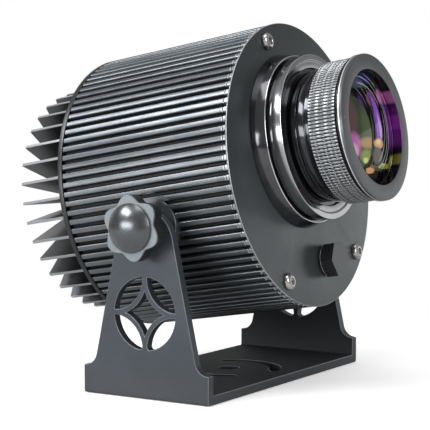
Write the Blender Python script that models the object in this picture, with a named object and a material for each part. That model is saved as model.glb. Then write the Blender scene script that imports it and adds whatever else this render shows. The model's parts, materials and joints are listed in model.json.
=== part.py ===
"""Outdoor gobo projector: a ribbed round head with a focusing lens, tilting in a U bracket.

World axes: +Z up, the lens faces -Y, the origin lies on the ground under the middle of the whole outline.
Head pieces hang under empties. In their own frames +Z runs forward along the optical axis, and z = 0 is
level with the tilt pivot.
"""
import math

import bmesh
import bpy
from mathutils import Matrix, Vector

MM = 0.001
GAP = 0.3 * MM                      # space left between two pieces that rest on each other
TILT = math.radians(9.0)            # nose up, as drawn

# Ribbed housing and front plate
PLATE_RADIUS = 80.0 * MM
PLATE_EDGE = 2.7 * MM               # thickness of the plate's rim
PLATE_CHAMFER = 0.6 * MM
PLATE_CORE = 7.2 * MM               # thickness behind the lens
HOUSING_FRONT = 50.0 * MM           # housing's front end, ahead of the pivot
HOUSING_REAR = -55.0 * MM
RIB_COUNT = 96
RIB_INSET = 0.5 * MM                # rib tips inside the plate's edge
RIB_DEPTH = 2.6 * MM
RIB_TIP = 2.8 * MM
RIB_FOOT = 3.5 * MM
HOUSING_WALL = 4.4 * MM             # from the rib roots to the bore
AXIS_RISE = 24.0 * MM               # housing axis above the pivot
CHANNEL_ANGLES = [math.radians(a) for a in (25.0, 109.0, 241.0, 313.0)]
CHANNEL_RADIUS = 5.5 * MM           # screw columns inside the bore
CHANNEL_INSET = 2.0 * MM            # column centre inside the bore's wall
SEAL_WIDTH = 1.5 * MM
SEAL_DEPTH = 1.0 * MM

# Cap screws
PLATE_SCREW_R = 2.1 * MM
PLATE_SCREW_HEAD = 4.7 * MM
PLATE_SCREW_HEIGHT = 2.8 * MM
PLATE_SCREW_REACH = 12.0 * MM
SCREW_INSET = 1.5 * MM              # front screws outside the columns' centres
REAR_SCREW_R = 1.6 * MM
REAR_SCREW_HEAD = 3.2 * MM
REAR_SCREW_HEIGHT = 2.4 * MM
REAR_SCREW_REACH = 12.0 * MM        # depth of its hole in the housing
REAR_SCREW_SHORT = 2.0 * MM         # its end above the hole's floor

# Hexagonal vent plug in the front plate
PLUG_X = 10.0 * MM
PLUG_Y = -55.0 * MM
PLUG_FLATS = 18.5 * MM
PLUG_HEX = 7.0 * MM
PLUG_COLLAR = 8.8 * MM
PLUG_COLLAR_H = 1.6 * MM
PLUG_THREAD = 6.0 * MM
PLUG_SEAL = 0.9 * MM
PLUG_CHAMFER = 0.8 * MM
PLUG_EDGE = 0.2 * MM                # its sides inside the flats' size

# Finned heatsink behind the housing
SINK_DISC = 3.0 * MM
SINK_SPIGOT = 5.0 * MM              # reach of its centre into the bore
FIN_COUNT = 36
FIN_CLEAR = 1.1 * MM                # fin tips inside the rear screws' heads
FIN_LENGTH = 37.7 * MM
FIN_THICK = 1.6 * MM
FIN_HUB = 15.0 * MM

# Bracket
SHEET = 5.0 * MM
ARM_GAP = 0.5 * MM                  # plate edge to the arm's inner face
UNDER_GAP = 30.5 * MM               # head above the base when level
BASE_LENGTH = 80.0 * MM
LIP_HEIGHT = 15.5 * MM
BEND_OUTSIDE = 1.4 * MM
BEND_INSIDE = 0.8 * MM
ARM_HEAD = 18.0 * MM                # rounded top of the arm
ARM_HEAD_DROP = 9.0 * MM            # its centre below the pivot
FOOT_LEDGE = 0.8 * MM               # lip's top left flat beyond the fillet
ARM_FOOT_UP = 8.5 * MM              # height above the lip where the tapering edge is measured
FILLET = 8.0 * MM
PIVOT_CLEAR = 0.5 * MM              # pivot hole outside the stud
WINDOW_RADIUS = 19.5 * MM
WINDOW_DROP = 46.0 * MM             # window centre below the pivot
STRIP = 2.8 * MM                    # bars between the window's openings
TIP_ROUND = 0.4 * MM
LOW_TIP_ROUND = 1.8 * MM
BASE_HOLE = 6.0 * MM
SLOT_RADIUS = 27.0 * MM
SLOT_HALF = 3.4 * MM
SLOT_SPAN = math.radians(55.0)      # half the angle of each curved slot
SLOT_TURN = math.radians(-22.0)

# Clamp knobs
PAD_DROP = 2.1 * MM                 # pivot pad inside the plate's edge
PAD_RADIUS = 15.0 * MM
SPOT_MARGIN = 3.0 * MM              # room cut round the pad
BOSS_FLOOR = 3.1 * MM               # boss behind the stud's hole
STUD_RADIUS = 4.0 * MM
STUD_REACH = 11.4 * MM              # into the housing's boss
WASHER_RADIUS = 8.8 * MM
WASHER_THICK = 1.5 * MM
FRICTION_RADIUS = 8.8 * MM
HUB_RADIUS = 8.5 * MM
HUB_LENGTH = 3.0 * MM
STAR_RADIUS = 17.5 * MM
STAR_DIP = 3.3 * MM
STAR_THICK = 7.5 * MM
CAP_RADIUS = 13.0 * MM
CAP_HEIGHT = 6.5 * MM

# Lens stack, distances ahead of the plate's face
LENS_SHIFT = -5.5 * MM              # lens axis to the near side of the housing axis
MOUNT_MARGIN = 18.4 * MM            # mount's top inside the plate's edge
MOUNT_FLARE = 3.0 * MM              # mount outside the lock ring
MOUNT_LENGTH = 8.2 * MM
MOUNT_TAPER = 2.0 * MM
MOUNT_EDGE = 0.4 * MM
NECK_INSET = 2.2 * MM               # neck inside the lock ring
NECK_LENGTH = 2.6 * MM
LOCK_WALL = 7.6 * MM                # lock ring outside the collar
LOCK_LENGTH = 5.8 * MM
LOCK_EDGE = 1.0 * MM
LOCK_RIM = 3.2 * MM                 # raised rim of its front face
LOCK_DISH = 0.8 * MM
TUBE_RADIUS = 36.0 * MM             # mount's tube through the plate
TUBE_WALL = 4.0 * MM
TUBE_REACH = 31.0 * MM              # behind the plate's face
COLLAR_STEP = 2.0 * MM              # collar under the lock ring, outside the tube
COLLAR_SHORT = 2.0 * MM             # its end behind the lock ring's front
STEP_LENGTH = 4.0 * MM              # first stretch of barrel ahead of the lock ring
BARREL_RADIUS = 36.7 * MM
BARREL_SHOW = 8.3 * MM
BARREL_UNDER = 7.5 * MM             # barrel covered by the focus ring
BARREL_WALL = 2.1 * MM
TAIL_WALL = 3.2 * MM                # barrel inside the mount's tube
TAIL_SHORT = 12.0 * MM              # its end ahead of the tube's
GRIP_WALL = 2.0 * MM
GRIP_LENGTH = 16.0 * MM
GRIP_TEETH = 48
GRIP_DEPTH = 0.7 * MM
BEZEL_PROUD = 0.9 * MM              # bezel outside the grip
BEZEL_THICK = 3.5 * MM
BEZEL_GROOVE = 1.0 * MM
BEZEL_COVER = 1.5 * MM              # bezel's hole inside the front glass
BEZEL_STEP = 0.9 * MM               # floor of the groove outside the spigot
BEZEL_EDGE = 0.8 * MM               # chamfer behind its rim
BEZEL_SOFT = 0.5 * MM
HOLE_SOFT = 0.4 * MM
BEZEL_SPIGOT = 5.0 * MM
BEZEL_LIP = 1.5 * MM                # bezel's inner flange behind its groove
FOCUS_TRAVEL = 3.0 * MM

# Glass of the projection lens
CELL_STEPS = 3
CELL_STEP_LENGTH = 3.6 * MM
CELL_STEP_RISE = 1.3 * MM
GLASS_RIM = 3.5 * MM
CELL_WALL = 1.1 * MM
FRONT_SAG = 5.0 * MM
RING_THICK = 2.2 * MM
RING_WIDTH = 2.0 * MM
INNER_RIM = 3.0 * MM
INNER_SAG = 4.0 * MM
INNER_LEDGE = 2.2 * MM              # seat of the middle and rear glass
INNER_RING = 1.8 * MM               # width of the rings that hold them
REAR_STOP = 20.0 * MM               # rear seat ahead of the tube's end
FRONT_STOP = 12.6 * MM              # front seat behind the barrel's cup

# Light source, condenser and gobo
BOARD_INSET = 9.0 * MM              # board's side inside the condenser's bore
BOARD_THICK = 1.6 * MM
EMITTER_RADIUS = 9.5 * MM
EMITTER_HEIGHT = 1.8 * MM
CONDENSER_WALL = 3.0 * MM
CONDENSER_RIM = 3.0 * MM
CONDENSER_REACH = 37.0 * MM         # tube length from the heatsink
CONDENSER_SEAT = 10.0 * MM          # rear glass ahead of the heatsink
CONDENSER_LEDGE = 2.4 * MM
CONDENSER_SPACE = 10.2 * MM         # between the two glasses
LEDGE_THICK = 2.0 * MM
REAR_DOME = 6.0 * MM
INNER_DOME = 3.0 * MM
OUTER_DOME = 5.0 * MM
FOOT_WIDTH = 6.0 * MM
FOOT_THICK = 3.0 * MM
GOBO_CLEAR = 5.7 * MM               # condenser's end to the carrier
GOBO_PLATE_THICK = 3.0 * MM
CARRIER_CLEAR = 3.7 * MM            # carrier's top inside the spigot's radius
LEG_INSET = 5.0 * MM                # legs' centres inside the carrier's edge
LEG_RADIUS = 3.5 * MM
LEG_PIN = 1.5 * MM
LEG_PIN_REACH = 4.0 * MM            # into the heatsink
BUSH_RADIUS = 23.0 * MM
BUSH_WALL = 3.0 * MM
BUSH_FLANGE = 1.5 * MM
BUSH_RIM = 2.2 * MM                 # its flange outside the bush
BUSH_TAIL = 2.0 * MM                # behind the carrier
GOBO_RADIUS = 17.0 * MM
GOBO_THICK = 1.1 * MM
GOBO_LEDGE = 2.0 * MM
GOBO_POCKET = 3.0 * MM
GOBO_RING = 1.0 * MM
GEAR_MODULE = 1.5 * MM
GEAR_TEETH = 40
PINION_TEETH = 10
GEAR_THICK = 6.0 * MM
GEAR_BACKLASH = 0.25 * MM
PINION_INSET = 0.5 * MM             # pinion narrower than the gear, each side
MOTOR_RADIUS = 9.0 * MM
MOTOR_LENGTH = 20.0 * MM
MOTOR_BOSS = 3.5 * MM
MOTOR_CLEAR = 1.75 * MM             # motor to the condenser's tube
SHAFT_RADIUS = 1.5 * MM
SHAFT_WELL = 8.0 * MM
SHAFT_SHORT = 0.5 * MM              # shaft's end above the well's floor

# Driver below the condenser
DRIVER_WIDTH = 48.0 * MM
DRIVER_CORNER = 4.0 * MM
DRIVER_CLEAR = 6.0 * MM             # its top to the condenser's foot
DRIVER_INSET = 6.7 * MM             # its bottom inside the spigot's edge
DRIVER_SPACE = 3.4 * MM             # its front to the motor's back

# Cable gland on the far shoulder
GLAND_ANGLE = math.radians(45.0)
GLAND_FROM_REAR = 17.0 * MM         # its axis ahead of the housing's rear end
GLAND_THREAD = 7.9 * MM
GLAND_WALL = 3.1 * MM               # hexagon's flats outside the thread
GLAND_HEX = 5.5 * MM
GLAND_NUT = 10.5 * MM
GLAND_BORE = 4.0 * MM
GLAND_SEAT = 2.0 * MM               # spot face inside the rib tips
GLAND_SEAL = 1.2 * MM
GLAND_LOCK = 4.0 * MM
GLAND_TAIL = 2.0 * MM               # thread beyond the locknut

# Sizes that follow
RIB_RADIUS = PLATE_RADIUS - RIB_INSET
ROOT_RADIUS = RIB_RADIUS - RIB_DEPTH
BORE = ROOT_RADIUS - HOUSING_WALL
CHANNEL_CIRCLE = BORE - CHANNEL_INSET
SPIGOT_RADIUS = CHANNEL_CIRCLE - CHANNEL_RADIUS - GAP
GROOVE_RADIUS = ROOT_RADIUS - SEAL_WIDTH - 2 * GAP
PLATE_BACK = HOUSING_FRONT + GAP
PLATE_FACE = PLATE_BACK + PLATE_EDGE
FRONT_SCREW_CIRCLE = CHANNEL_CIRCLE + SCREW_INSET
FIN_RADIUS = CHANNEL_CIRCLE - REAR_SCREW_HEAD - FIN_CLEAR
SINK_SEAT = HOUSING_REAR - GAP
SINK_BACK = SINK_SEAT - SINK_DISC
SINK_FRONT = HOUSING_REAR + SINK_SPIGOT
INNER_FACE = PLATE_RADIUS + ARM_GAP
OUTER_FACE = INNER_FACE + SHEET
PAD_FACE = PLATE_RADIUS - PAD_DROP
SPOT_RADIUS = PAD_RADIUS + SPOT_MARGIN
BOSS_DEPTH = STUD_REACH + MM + BOSS_FLOOR
PIVOT_HOLE = STUD_RADIUS + PIVOT_CLEAR
PIVOT_HEIGHT = SHEET + UNDER_GAP + PLATE_RADIUS - AXIS_RISE
ARM_FOOT = BASE_LENGTH / 2 - FILLET - FOOT_LEDGE   # half width low on the tapering edge
COLLAR_RADIUS = TUBE_RADIUS + COLLAR_STEP
LOCK_RADIUS = COLLAR_RADIUS + LOCK_WALL
NECK_RADIUS = LOCK_RADIUS - NECK_INSET
MOUNT_RADIUS = LOCK_RADIUS + MOUNT_FLARE
LENS_RISE = PLATE_RADIUS - MOUNT_RADIUS - MOUNT_MARGIN   # lens axis above the housing axis
LENS_AXIS = AXIS_RISE + LENS_RISE
MOUNT_BACK = PLATE_FACE + GAP
MOUNT_FRONT = MOUNT_BACK + MOUNT_LENGTH
NECK_FRONT = MOUNT_FRONT + NECK_LENGTH
LOCK_BACK = NECK_FRONT + GAP
LOCK_FRONT = LOCK_BACK + LOCK_LENGTH
COLLAR_FRONT = LOCK_FRONT - COLLAR_SHORT
STEP_FRONT = LOCK_FRONT + STEP_LENGTH
GRIP_BACK = STEP_FRONT + BARREL_SHOW
GRIP_FRONT = GRIP_BACK + GRIP_LENGTH
BARREL_FRONT = GRIP_BACK + BARREL_UNDER
BEZEL_BACK = GRIP_FRONT + BEZEL_GROOVE
BEZEL_FRONT = BEZEL_BACK + BEZEL_THICK
BEZEL_THROAT = BEZEL_BACK - BEZEL_LIP
SPIGOT_BACK = GRIP_FRONT - BEZEL_SPIGOT
GRIP_BORE = BARREL_RADIUS + GAP
GRIP_RADIUS = GRIP_BORE + GRIP_WALL
BEZEL_RADIUS = GRIP_RADIUS + BEZEL_PROUD
CUP_BORE = BARREL_RADIUS - BARREL_WALL
CELL_RADIUS = CUP_BORE - GAP
CELL_FRONT = BEZEL_THROAT - GAP
CELL_BACK = STEP_FRONT + FOCUS_TRAVEL + 2 * GAP
FRONT_HOLD = CELL_FRONT - GAP - RING_THICK
FRONT_RIM = FRONT_HOLD - GAP - GLASS_RIM
SEAT_BORE = CELL_RADIUS - CELL_WALL
FRONT_GLASS = SEAT_BORE - GAP
BEZEL_HOLE = FRONT_GLASS - BEZEL_COVER
TAIL_RADIUS = TUBE_RADIUS - TUBE_WALL - GAP
INNER_BORE = TAIL_RADIUS - TAIL_WALL
INNER_GLASS = INNER_BORE - GAP
TUBE_BACK = PLATE_FACE - TUBE_REACH
BUSH_BORE = BUSH_RADIUS - BUSH_WALL
GEAR_PITCH = GEAR_MODULE * GEAR_TEETH / 2
PINION_PITCH = GEAR_MODULE * PINION_TEETH / 2
MOTOR_DROP = GEAR_PITCH + PINION_PITCH + GEAR_BACKLASH
CONDENSER_OUTER = MOTOR_DROP - MOTOR_RADIUS - MOTOR_CLEAR
CONDENSER_BORE = CONDENSER_OUTER - CONDENSER_WALL
CONDENSER_GLASS = CONDENSER_BORE - GAP
CONDENSER_FOOT = CONDENSER_OUTER + FOOT_WIDTH
BOARD_HALF = CONDENSER_BORE - BOARD_INSET
LIGHT_BACK = SINK_FRONT + GAP
GOBO_PLATE_Z = LIGHT_BACK + CONDENSER_REACH + GOBO_CLEAR
GOBO_PLATE_RADIUS = SPIGOT_RADIUS - LENS_RISE - CARRIER_CLEAR
LEG_CIRCLE = GOBO_PLATE_RADIUS - LEG_INSET
GEAR_BACK = GOBO_PLATE_Z + GOBO_PLATE_THICK + BUSH_FLANGE + 2 * GAP
MOTOR_FACE = GOBO_PLATE_Z - GAP
DRIVER_TOP = LENS_RISE - CONDENSER_FOOT - DRIVER_CLEAR
DRIVER_BOTTOM = DRIVER_INSET - SPIGOT_RADIUS
DRIVER_FRONT = MOTOR_FACE - MOTOR_LENGTH - DRIVER_SPACE
GLAND_Z = HOUSING_REAR + GLAND_FROM_REAR
GLAND_FLATS = 2 * (GLAND_THREAD + GLAND_WALL)
REAR_REACH = (FIN_LENGTH - SINK_BACK) * math.cos(TILT) + (AXIS_RISE + FIN_RADIUS) * math.sin(TILT)
FRONT_REACH = BEZEL_FRONT * math.cos(TILT) + (BEZEL_RADIUS - LENS_AXIS) * math.sin(TILT)
PIVOT_Y = (FRONT_REACH - REAR_REACH) / 2

FORWARD = (math.pi / 2, 0.0, 0.0)
TO_NEAR = (math.pi / 2, 0.0, -math.pi / 2)
TO_FAR = (math.pi / 2, 0.0, math.pi / 2)

MATERIALS = {
    "housing_paint": ((0.10, 0.11, 0.12), 0.38, 0.85),
    "plate_paint": ((0.11, 0.125, 0.13), 0.5, 0.6),
    "bracket_paint": ((0.085, 0.095, 0.105), 0.55, 0.5),
    "sink_paint": ((0.03, 0.032, 0.035), 0.5, 0.6),
    "lens_black": ((0.02, 0.021, 0.023), 0.3, 0.7),
    "grip_grey": ((0.07, 0.075, 0.08), 0.4, 0.8),
    "steel": ((0.62, 0.62, 0.6), 0.25, 1.0),
    "knob_grey": ((0.3, 0.32, 0.34), 0.4, 0.7),
    "knob_dark": ((0.03, 0.033, 0.036), 0.08, 0.9),
    "black_plastic": ((0.012, 0.012, 0.013), 0.4, 0.0),
    "rubber": ((0.02, 0.02, 0.02), 0.8, 0.0),
    "brass": ((0.6, 0.43, 0.18), 0.3, 1.0),
    "emitter_yellow": ((0.8, 0.6, 0.12), 0.4, 0.0),
    "glass": ((0.35, 0.2, 0.45), 0.03, 0.0),
    "clear_glass": ((0.75, 0.82, 0.85), 0.03, 0.0),
    "aluminium": ((0.55, 0.56, 0.58), 0.35, 1.0),
}


def material(name):
    """One Principled material for each finish."""
    found = bpy.data.materials.get(name)
    if found:
        return found
    color, roughness, metallic = MATERIALS[name]
    made = bpy.data.materials.new(name)
    made.use_nodes = True
    shader = made.node_tree.nodes["Principled BSDF"]
    shader.inputs["Base Color"].default_value = (*color, 1.0)
    shader.inputs["Roughness"].default_value = roughness
    shader.inputs["Metallic"].default_value = metallic
    return made


def empty(name, parent=None, location=(0, 0, 0), rotation=(0, 0, 0)):
    frame = bpy.data.objects.new(name, None)
    bpy.context.collection.objects.link(frame)
    frame.parent = parent
    frame.location = location
    frame.rotation_euler = rotation
    return frame


def add_object(name, bm, finish, parent, location=(0, 0, 0), rotation=(0, 0, 0), smooth=30.0):
    """Turns a bmesh into a placed object with its material."""
    bmesh.ops.recalc_face_normals(bm, faces=bm.faces)
    mesh = bpy.data.meshes.new(name)
    bm.to_mesh(mesh)
    bm.free()
    mesh.materials.append(material(finish))
    mesh.shade_smooth()
    mesh.set_sharp_from_angle(angle=math.radians(smooth))
    obj = bpy.data.objects.new(name, mesh)
    bpy.context.collection.objects.link(obj)
    obj.parent = parent
    obj.location = location
    obj.rotation_euler = rotation
    return obj


def hexagon(flats, angle):
    """Radius at an angle of a hexagon that measures flats from side to side."""
    return flats / 2 / math.cos((angle + math.pi / 6) % (math.pi / 3) - math.pi / 6)


def turn(bm, profile, segments, centre=(0.0, 0.0), closed=False):
    """Turns (z, radius) points about Z. A third entry "hex" makes that ring a hexagon of twice the radius
    across flats. An open profile starts and ends on the axis, a closed one returns to its first point."""
    rings = []
    for point in profile:
        z, radius = point[0], point[1]
        if radius == 0.0:
            rings.append([bm.verts.new((centre[0], centre[1], z))])
            continue
        ring = []
        for i in range(segments):
            angle = 2 * math.pi * i / segments
            reach = hexagon(2 * radius, angle) if len(point) > 2 else radius
            ring.append(bm.verts.new((centre[0] + reach * math.cos(angle), centre[1] + reach * math.sin(angle), z)))
        rings.append(ring)
    pairs = list(zip(rings, rings[1:]))
    if closed:
        pairs.append((rings[-1], rings[0]))
    for low, high in pairs:
        for i in range(segments):
            j = (i + 1) % segments
            corners = [low[i % len(low)], low[j % len(low)], high[j % len(high)], high[i % len(high)]]
            face = list(dict.fromkeys(corners))
            if len(face) > 2:
                bm.faces.new(face)
    return bm


def ring_profile(back, front, inner, outer):
    return [(back, inner), (back, outer), (front, outer), (front, inner)]


def disc_profile(back, front, radius):
    return [(back, 0.0), (back, radius), (front, radius), (front, 0.0)]


def lathe(name, profile, finish, parent, segments=48, location=(0, 0, 0), rotation=(0, 0, 0), closed=False):
    return add_object(name, turn(bmesh.new(), profile, segments, closed=closed), finish, parent, location, rotation)


def ring(name, back, front, inner, outer, finish, parent, segments=48, location=(0, 0, 0), rotation=(0, 0, 0)):
    """A plain ring between two heights."""
    profile = ring_profile(back, front, inner, outer)
    return lathe(name, profile, finish, parent, segments, location, rotation, closed=True)


def circle(radius, count, centre=(0.0, 0.0), start=0.0):
    return [(centre[0] + radius * math.cos(start + 2 * math.pi * i / count),
             centre[1] + radius * math.sin(start + 2 * math.pi * i / count)) for i in range(count)]


def arc(centre, radius, start, end, count):
    """Points on an arc, both ends included."""
    steps = [start + (end - start) * i / count for i in range(count + 1)]
    return [(centre[0] + radius * math.cos(a), centre[1] + radius * math.sin(a)) for a in steps]


def prism(bm, outer, holes, low, high):
    """Extrudes an outline with holes from z = low to z = high."""
    edges = []
    for outline in [outer, *holes]:
        verts = [bm.verts.new((x, y, low)) for x, y in outline]
        edges += [bm.edges.new((verts[i - 1], verts[i])) for i in range(len(verts))]
    filled = bmesh.ops.triangle_fill(bm, use_beauty=True, use_dissolve=False, edges=edges)
    faces = [f for f in filled["geom"] if isinstance(f, bmesh.types.BMFace)]
    lifted = bmesh.ops.extrude_face_region(bm, geom=faces, use_keep_orig=True)["geom"]
    bmesh.ops.translate(bm, vec=(0, 0, high - low), verts=[v for v in lifted if isinstance(v, bmesh.types.BMVert)])
    return bm


def combine(obj, bm, operation, parent, rotation=(0, 0, 0), location=(0, 0, 0)):
    """Joins or cuts obj with a hidden tool."""
    tool = add_object(f"{obj.name}_{operation.lower()}", bm, "steel", parent, location, rotation)
    tool.hide_render = True
    tool.display_type = "WIRE"
    step = obj.modifiers.new(operation.title(), "BOOLEAN")
    step.operation = operation
    step.object = tool
    step.solver = "EXACT"
    return tool


def transformed(bm, matrix):
    bmesh.ops.transform(bm, matrix=matrix, verts=bm.verts)
    return bm


def merged(*parts):
    """Puts several loose meshes in one."""
    whole = bmesh.new()
    for part in parts:
        mesh = bpy.data.meshes.new("part")
        part.to_mesh(mesh)
        part.free()
        whole.from_mesh(mesh)
        bpy.data.meshes.remove(mesh)
    return whole


def polar(radius, angle):
    return radius * math.cos(angle), radius * math.sin(angle)


def socket_screw(name, parent, place, seat, radius, reach, head, height, up=1.0):
    """A button-head screw with a hexagon socket; seat is the underside of its head, up the way it faces."""
    socket = head * 0.4
    profile = [(seat - up * reach, 0.0), (seat - up * reach, radius), (seat, radius), (seat, head),
               (seat + up * height * 0.5, head), (seat + up * height, head * 0.72), (seat + up * height, socket, "hex"),
               (seat + up * height * 0.35, socket, "hex"), (seat + up * height * 0.35, 0.0)]
    return lathe(name, profile, "steel", parent, 12, (*place, 0))


def rib_outline():
    """Outer outline of the housing: one trapezoid for each rib."""
    points = []
    for i in range(RIB_COUNT):
        middle = 2 * math.pi * i / RIB_COUNT
        foot = RIB_FOOT / 2 / ROOT_RADIUS
        tip = RIB_TIP / 2 / RIB_RADIUS
        points += [polar(ROOT_RADIUS, middle - foot), polar(RIB_RADIUS, middle - tip),
                   polar(RIB_RADIUS, middle + tip), polar(ROOT_RADIUS, middle + foot)]
    return points


def bore_outline(count=40):
    """The bore, with a round screw column standing in at each channel angle."""
    half = math.asin(CHANNEL_RADIUS / CHANNEL_CIRCLE)
    points = []
    for i in range(count):
        angle = 2 * math.pi * i / count
        if all(abs(math.remainder(angle - a, 2 * math.pi)) > half * 1.15 for a in CHANNEL_ANGLES):
            points.append((angle, BORE))
    for a in CHANNEL_ANGLES:
        points += [(a - half, BORE), (a + half, BORE)]
        for i in range(7):
            across = half * math.cos(math.pi * i / 6) * 0.9999
            reach = CHANNEL_CIRCLE * math.cos(across)
            reach -= math.sqrt(CHANNEL_RADIUS ** 2 - (CHANNEL_CIRCLE * math.sin(across)) ** 2)
            points.append((a + across * 0.999, reach))
    points.sort(key=lambda p: p[0] % (2 * math.pi))
    return [polar(radius, angle) for angle, radius in points]


def side_matrix(side):
    """Takes a shape turned about Z to the pivot axis, side -1 near or +1 far, in the housing's frame."""
    return Matrix.Translation((0, -AXIS_RISE, 0)) @ Matrix.Rotation(side * math.pi / 2, 4, "Y")


def gland_matrix():
    """Takes a shape turned about Z to the cable gland's axis, in the housing's frame."""
    turned = Matrix.Rotation(GLAND_ANGLE, 4, "Z") @ Matrix.Rotation(math.pi / 2, 4, "Y")
    return Matrix.Translation((0, 0, GLAND_Z)) @ turned


def make_housing(body):
    """Ribbed tube with screw columns, a pivot boss on each side and the gland's spot face."""
    obj = add_object("housing", prism(bmesh.new(), rib_outline(), [bore_outline()], HOUSING_REAR, HOUSING_FRONT),
                     "housing_paint", body, smooth=20)
    bosses = []
    cuts = []
    hole = STUD_RADIUS + GAP
    for side in (-1, 1):
        boss = disc_profile(PAD_FACE - BOSS_DEPTH, PAD_FACE + MM, PAD_RADIUS)
        cut = [(PAD_FACE - STUD_REACH - MM, 0.0), (PAD_FACE - STUD_REACH - MM, hole), (PAD_FACE, hole),
               (PAD_FACE, SPOT_RADIUS), (OUTER_FACE, SPOT_RADIUS), (OUTER_FACE, 0.0)]
        bosses.append(transformed(turn(bmesh.new(), boss, 20), side_matrix(side)))
        cuts.append(transformed(turn(bmesh.new(), cut, 16), side_matrix(side)))
    thread = GLAND_THREAD + GAP
    spot = RIB_RADIUS - GLAND_SEAT
    gland = [(BORE - 8 * MM, 0.0), (BORE - 8 * MM, thread), (spot, thread), (spot, GLAND_FLATS * 0.62),
             (OUTER_FACE, GLAND_FLATS * 0.62), (OUTER_FACE, 0.0)]
    cuts.append(transformed(turn(bmesh.new(), gland, 16), gland_matrix()))
    for angle in CHANNEL_ANGLES:
        front = disc_profile(HOUSING_FRONT - PLATE_SCREW_REACH, HOUSING_FRONT + MM, PLATE_SCREW_R + GAP)
        rear = disc_profile(HOUSING_REAR - MM, HOUSING_REAR + REAR_SCREW_REACH, REAR_SCREW_R + GAP)
        cuts.append(turn(bmesh.new(), front, 8, polar(FRONT_SCREW_CIRCLE, angle)))
        cuts.append(turn(bmesh.new(), rear, 8, polar(CHANNEL_CIRCLE, angle)))
    combine(obj, merged(*bosses), "UNION", body)
    combine(obj, merged(*cuts), "DIFFERENCE", body)
    return obj


def make_front(body):
    """Front plate with its seal, screws and vent plug."""
    profile = [(PLATE_FACE - PLATE_CORE, 0.0), (PLATE_FACE - PLATE_CORE, SPIGOT_RADIUS), (PLATE_BACK, SPIGOT_RADIUS),
               (PLATE_BACK, GROOVE_RADIUS), (PLATE_BACK + SEAL_DEPTH, GROOVE_RADIUS),
               (PLATE_BACK + SEAL_DEPTH, ROOT_RADIUS), (PLATE_BACK, ROOT_RADIUS), (PLATE_BACK, PLATE_RADIUS),
               (PLATE_FACE - PLATE_CHAMFER, PLATE_RADIUS), (PLATE_FACE, PLATE_RADIUS - PLATE_CHAMFER),
               (PLATE_FACE, 0.0)]
    plate = lathe("front_plate", profile, "plate_paint", body, 60)
    through = (PLATE_FACE - PLATE_CORE - MM, PLATE_FACE + MM)
    cuts = [turn(bmesh.new(), disc_profile(*through, TUBE_RADIUS + GAP), 36, (LENS_SHIFT, LENS_RISE)),
            turn(bmesh.new(), disc_profile(*through, PLUG_THREAD + GAP), 16, (PLUG_X, PLUG_Y))]
    for number, angle in enumerate(CHANNEL_ANGLES, 1):
        centre = polar(FRONT_SCREW_CIRCLE, angle)
        cuts.append(turn(bmesh.new(), disc_profile(PLATE_BACK - MM, PLATE_FACE + MM, PLATE_SCREW_R + GAP), 10,
                         centre))
        socket_screw(f"front_screw_{number}", body, centre, PLATE_FACE + GAP, PLATE_SCREW_R, PLATE_SCREW_REACH,
                     PLATE_SCREW_HEAD, PLATE_SCREW_HEIGHT)
    combine(plate, merged(*cuts), "DIFFERENCE", body)
    ring("front_seal", PLATE_BACK, PLATE_BACK + SEAL_DEPTH - GAP, GROOVE_RADIUS + GAP, ROOT_RADIUS - GAP, "rubber",
         body, 40)

    seat = PLATE_FACE + GAP
    collar = seat + PLUG_SEAL + GAP
    hex_top = collar + PLUG_COLLAR_H + PLUG_HEX
    plug = [(PLATE_FACE - PLATE_CORE, 0.0), (PLATE_FACE - PLATE_CORE, PLUG_THREAD), (collar, PLUG_THREAD),
            (collar, PLUG_COLLAR), (collar + PLUG_COLLAR_H, PLUG_COLLAR),
            (collar + PLUG_COLLAR_H, PLUG_FLATS / 2 - PLUG_EDGE, "hex"),
            (hex_top - PLUG_CHAMFER, PLUG_FLATS / 2 - PLUG_EDGE, "hex"), (hex_top, PLUG_FLATS / 2 - 3 * PLUG_EDGE),
            (hex_top, 0.0)]
    lathe("vent_plug", plug, "black_plastic", body, 12, (PLUG_X, PLUG_Y, 0))
    ring("vent_plug_seal", seat, seat + PLUG_SEAL, PLUG_THREAD + GAP, PLUG_COLLAR - 0.4 * MM, "rubber", body, 12,
         (PLUG_X, PLUG_Y, 0))
    return plate


def fin_outline():
    """Star of radial fins about a small hub."""
    points = []
    for i in range(FIN_COUNT):
        angle = 2 * math.pi * i / FIN_COUNT
        along = Vector((math.cos(angle), math.sin(angle)))
        across = Vector((-math.sin(angle), math.cos(angle))) * FIN_THICK / 2
        for corner in (along * FIN_HUB - across, along * FIN_RADIUS - across, along * FIN_RADIUS + across,
                       along * FIN_HUB + across):
            points.append((corner.x, corner.y))
    return points


def leg_centres():
    """Legs of the gobo carrier, about the optical axis."""
    return [polar(LEG_CIRCLE, math.radians(a)) for a in (90, 210, 330)]


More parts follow.
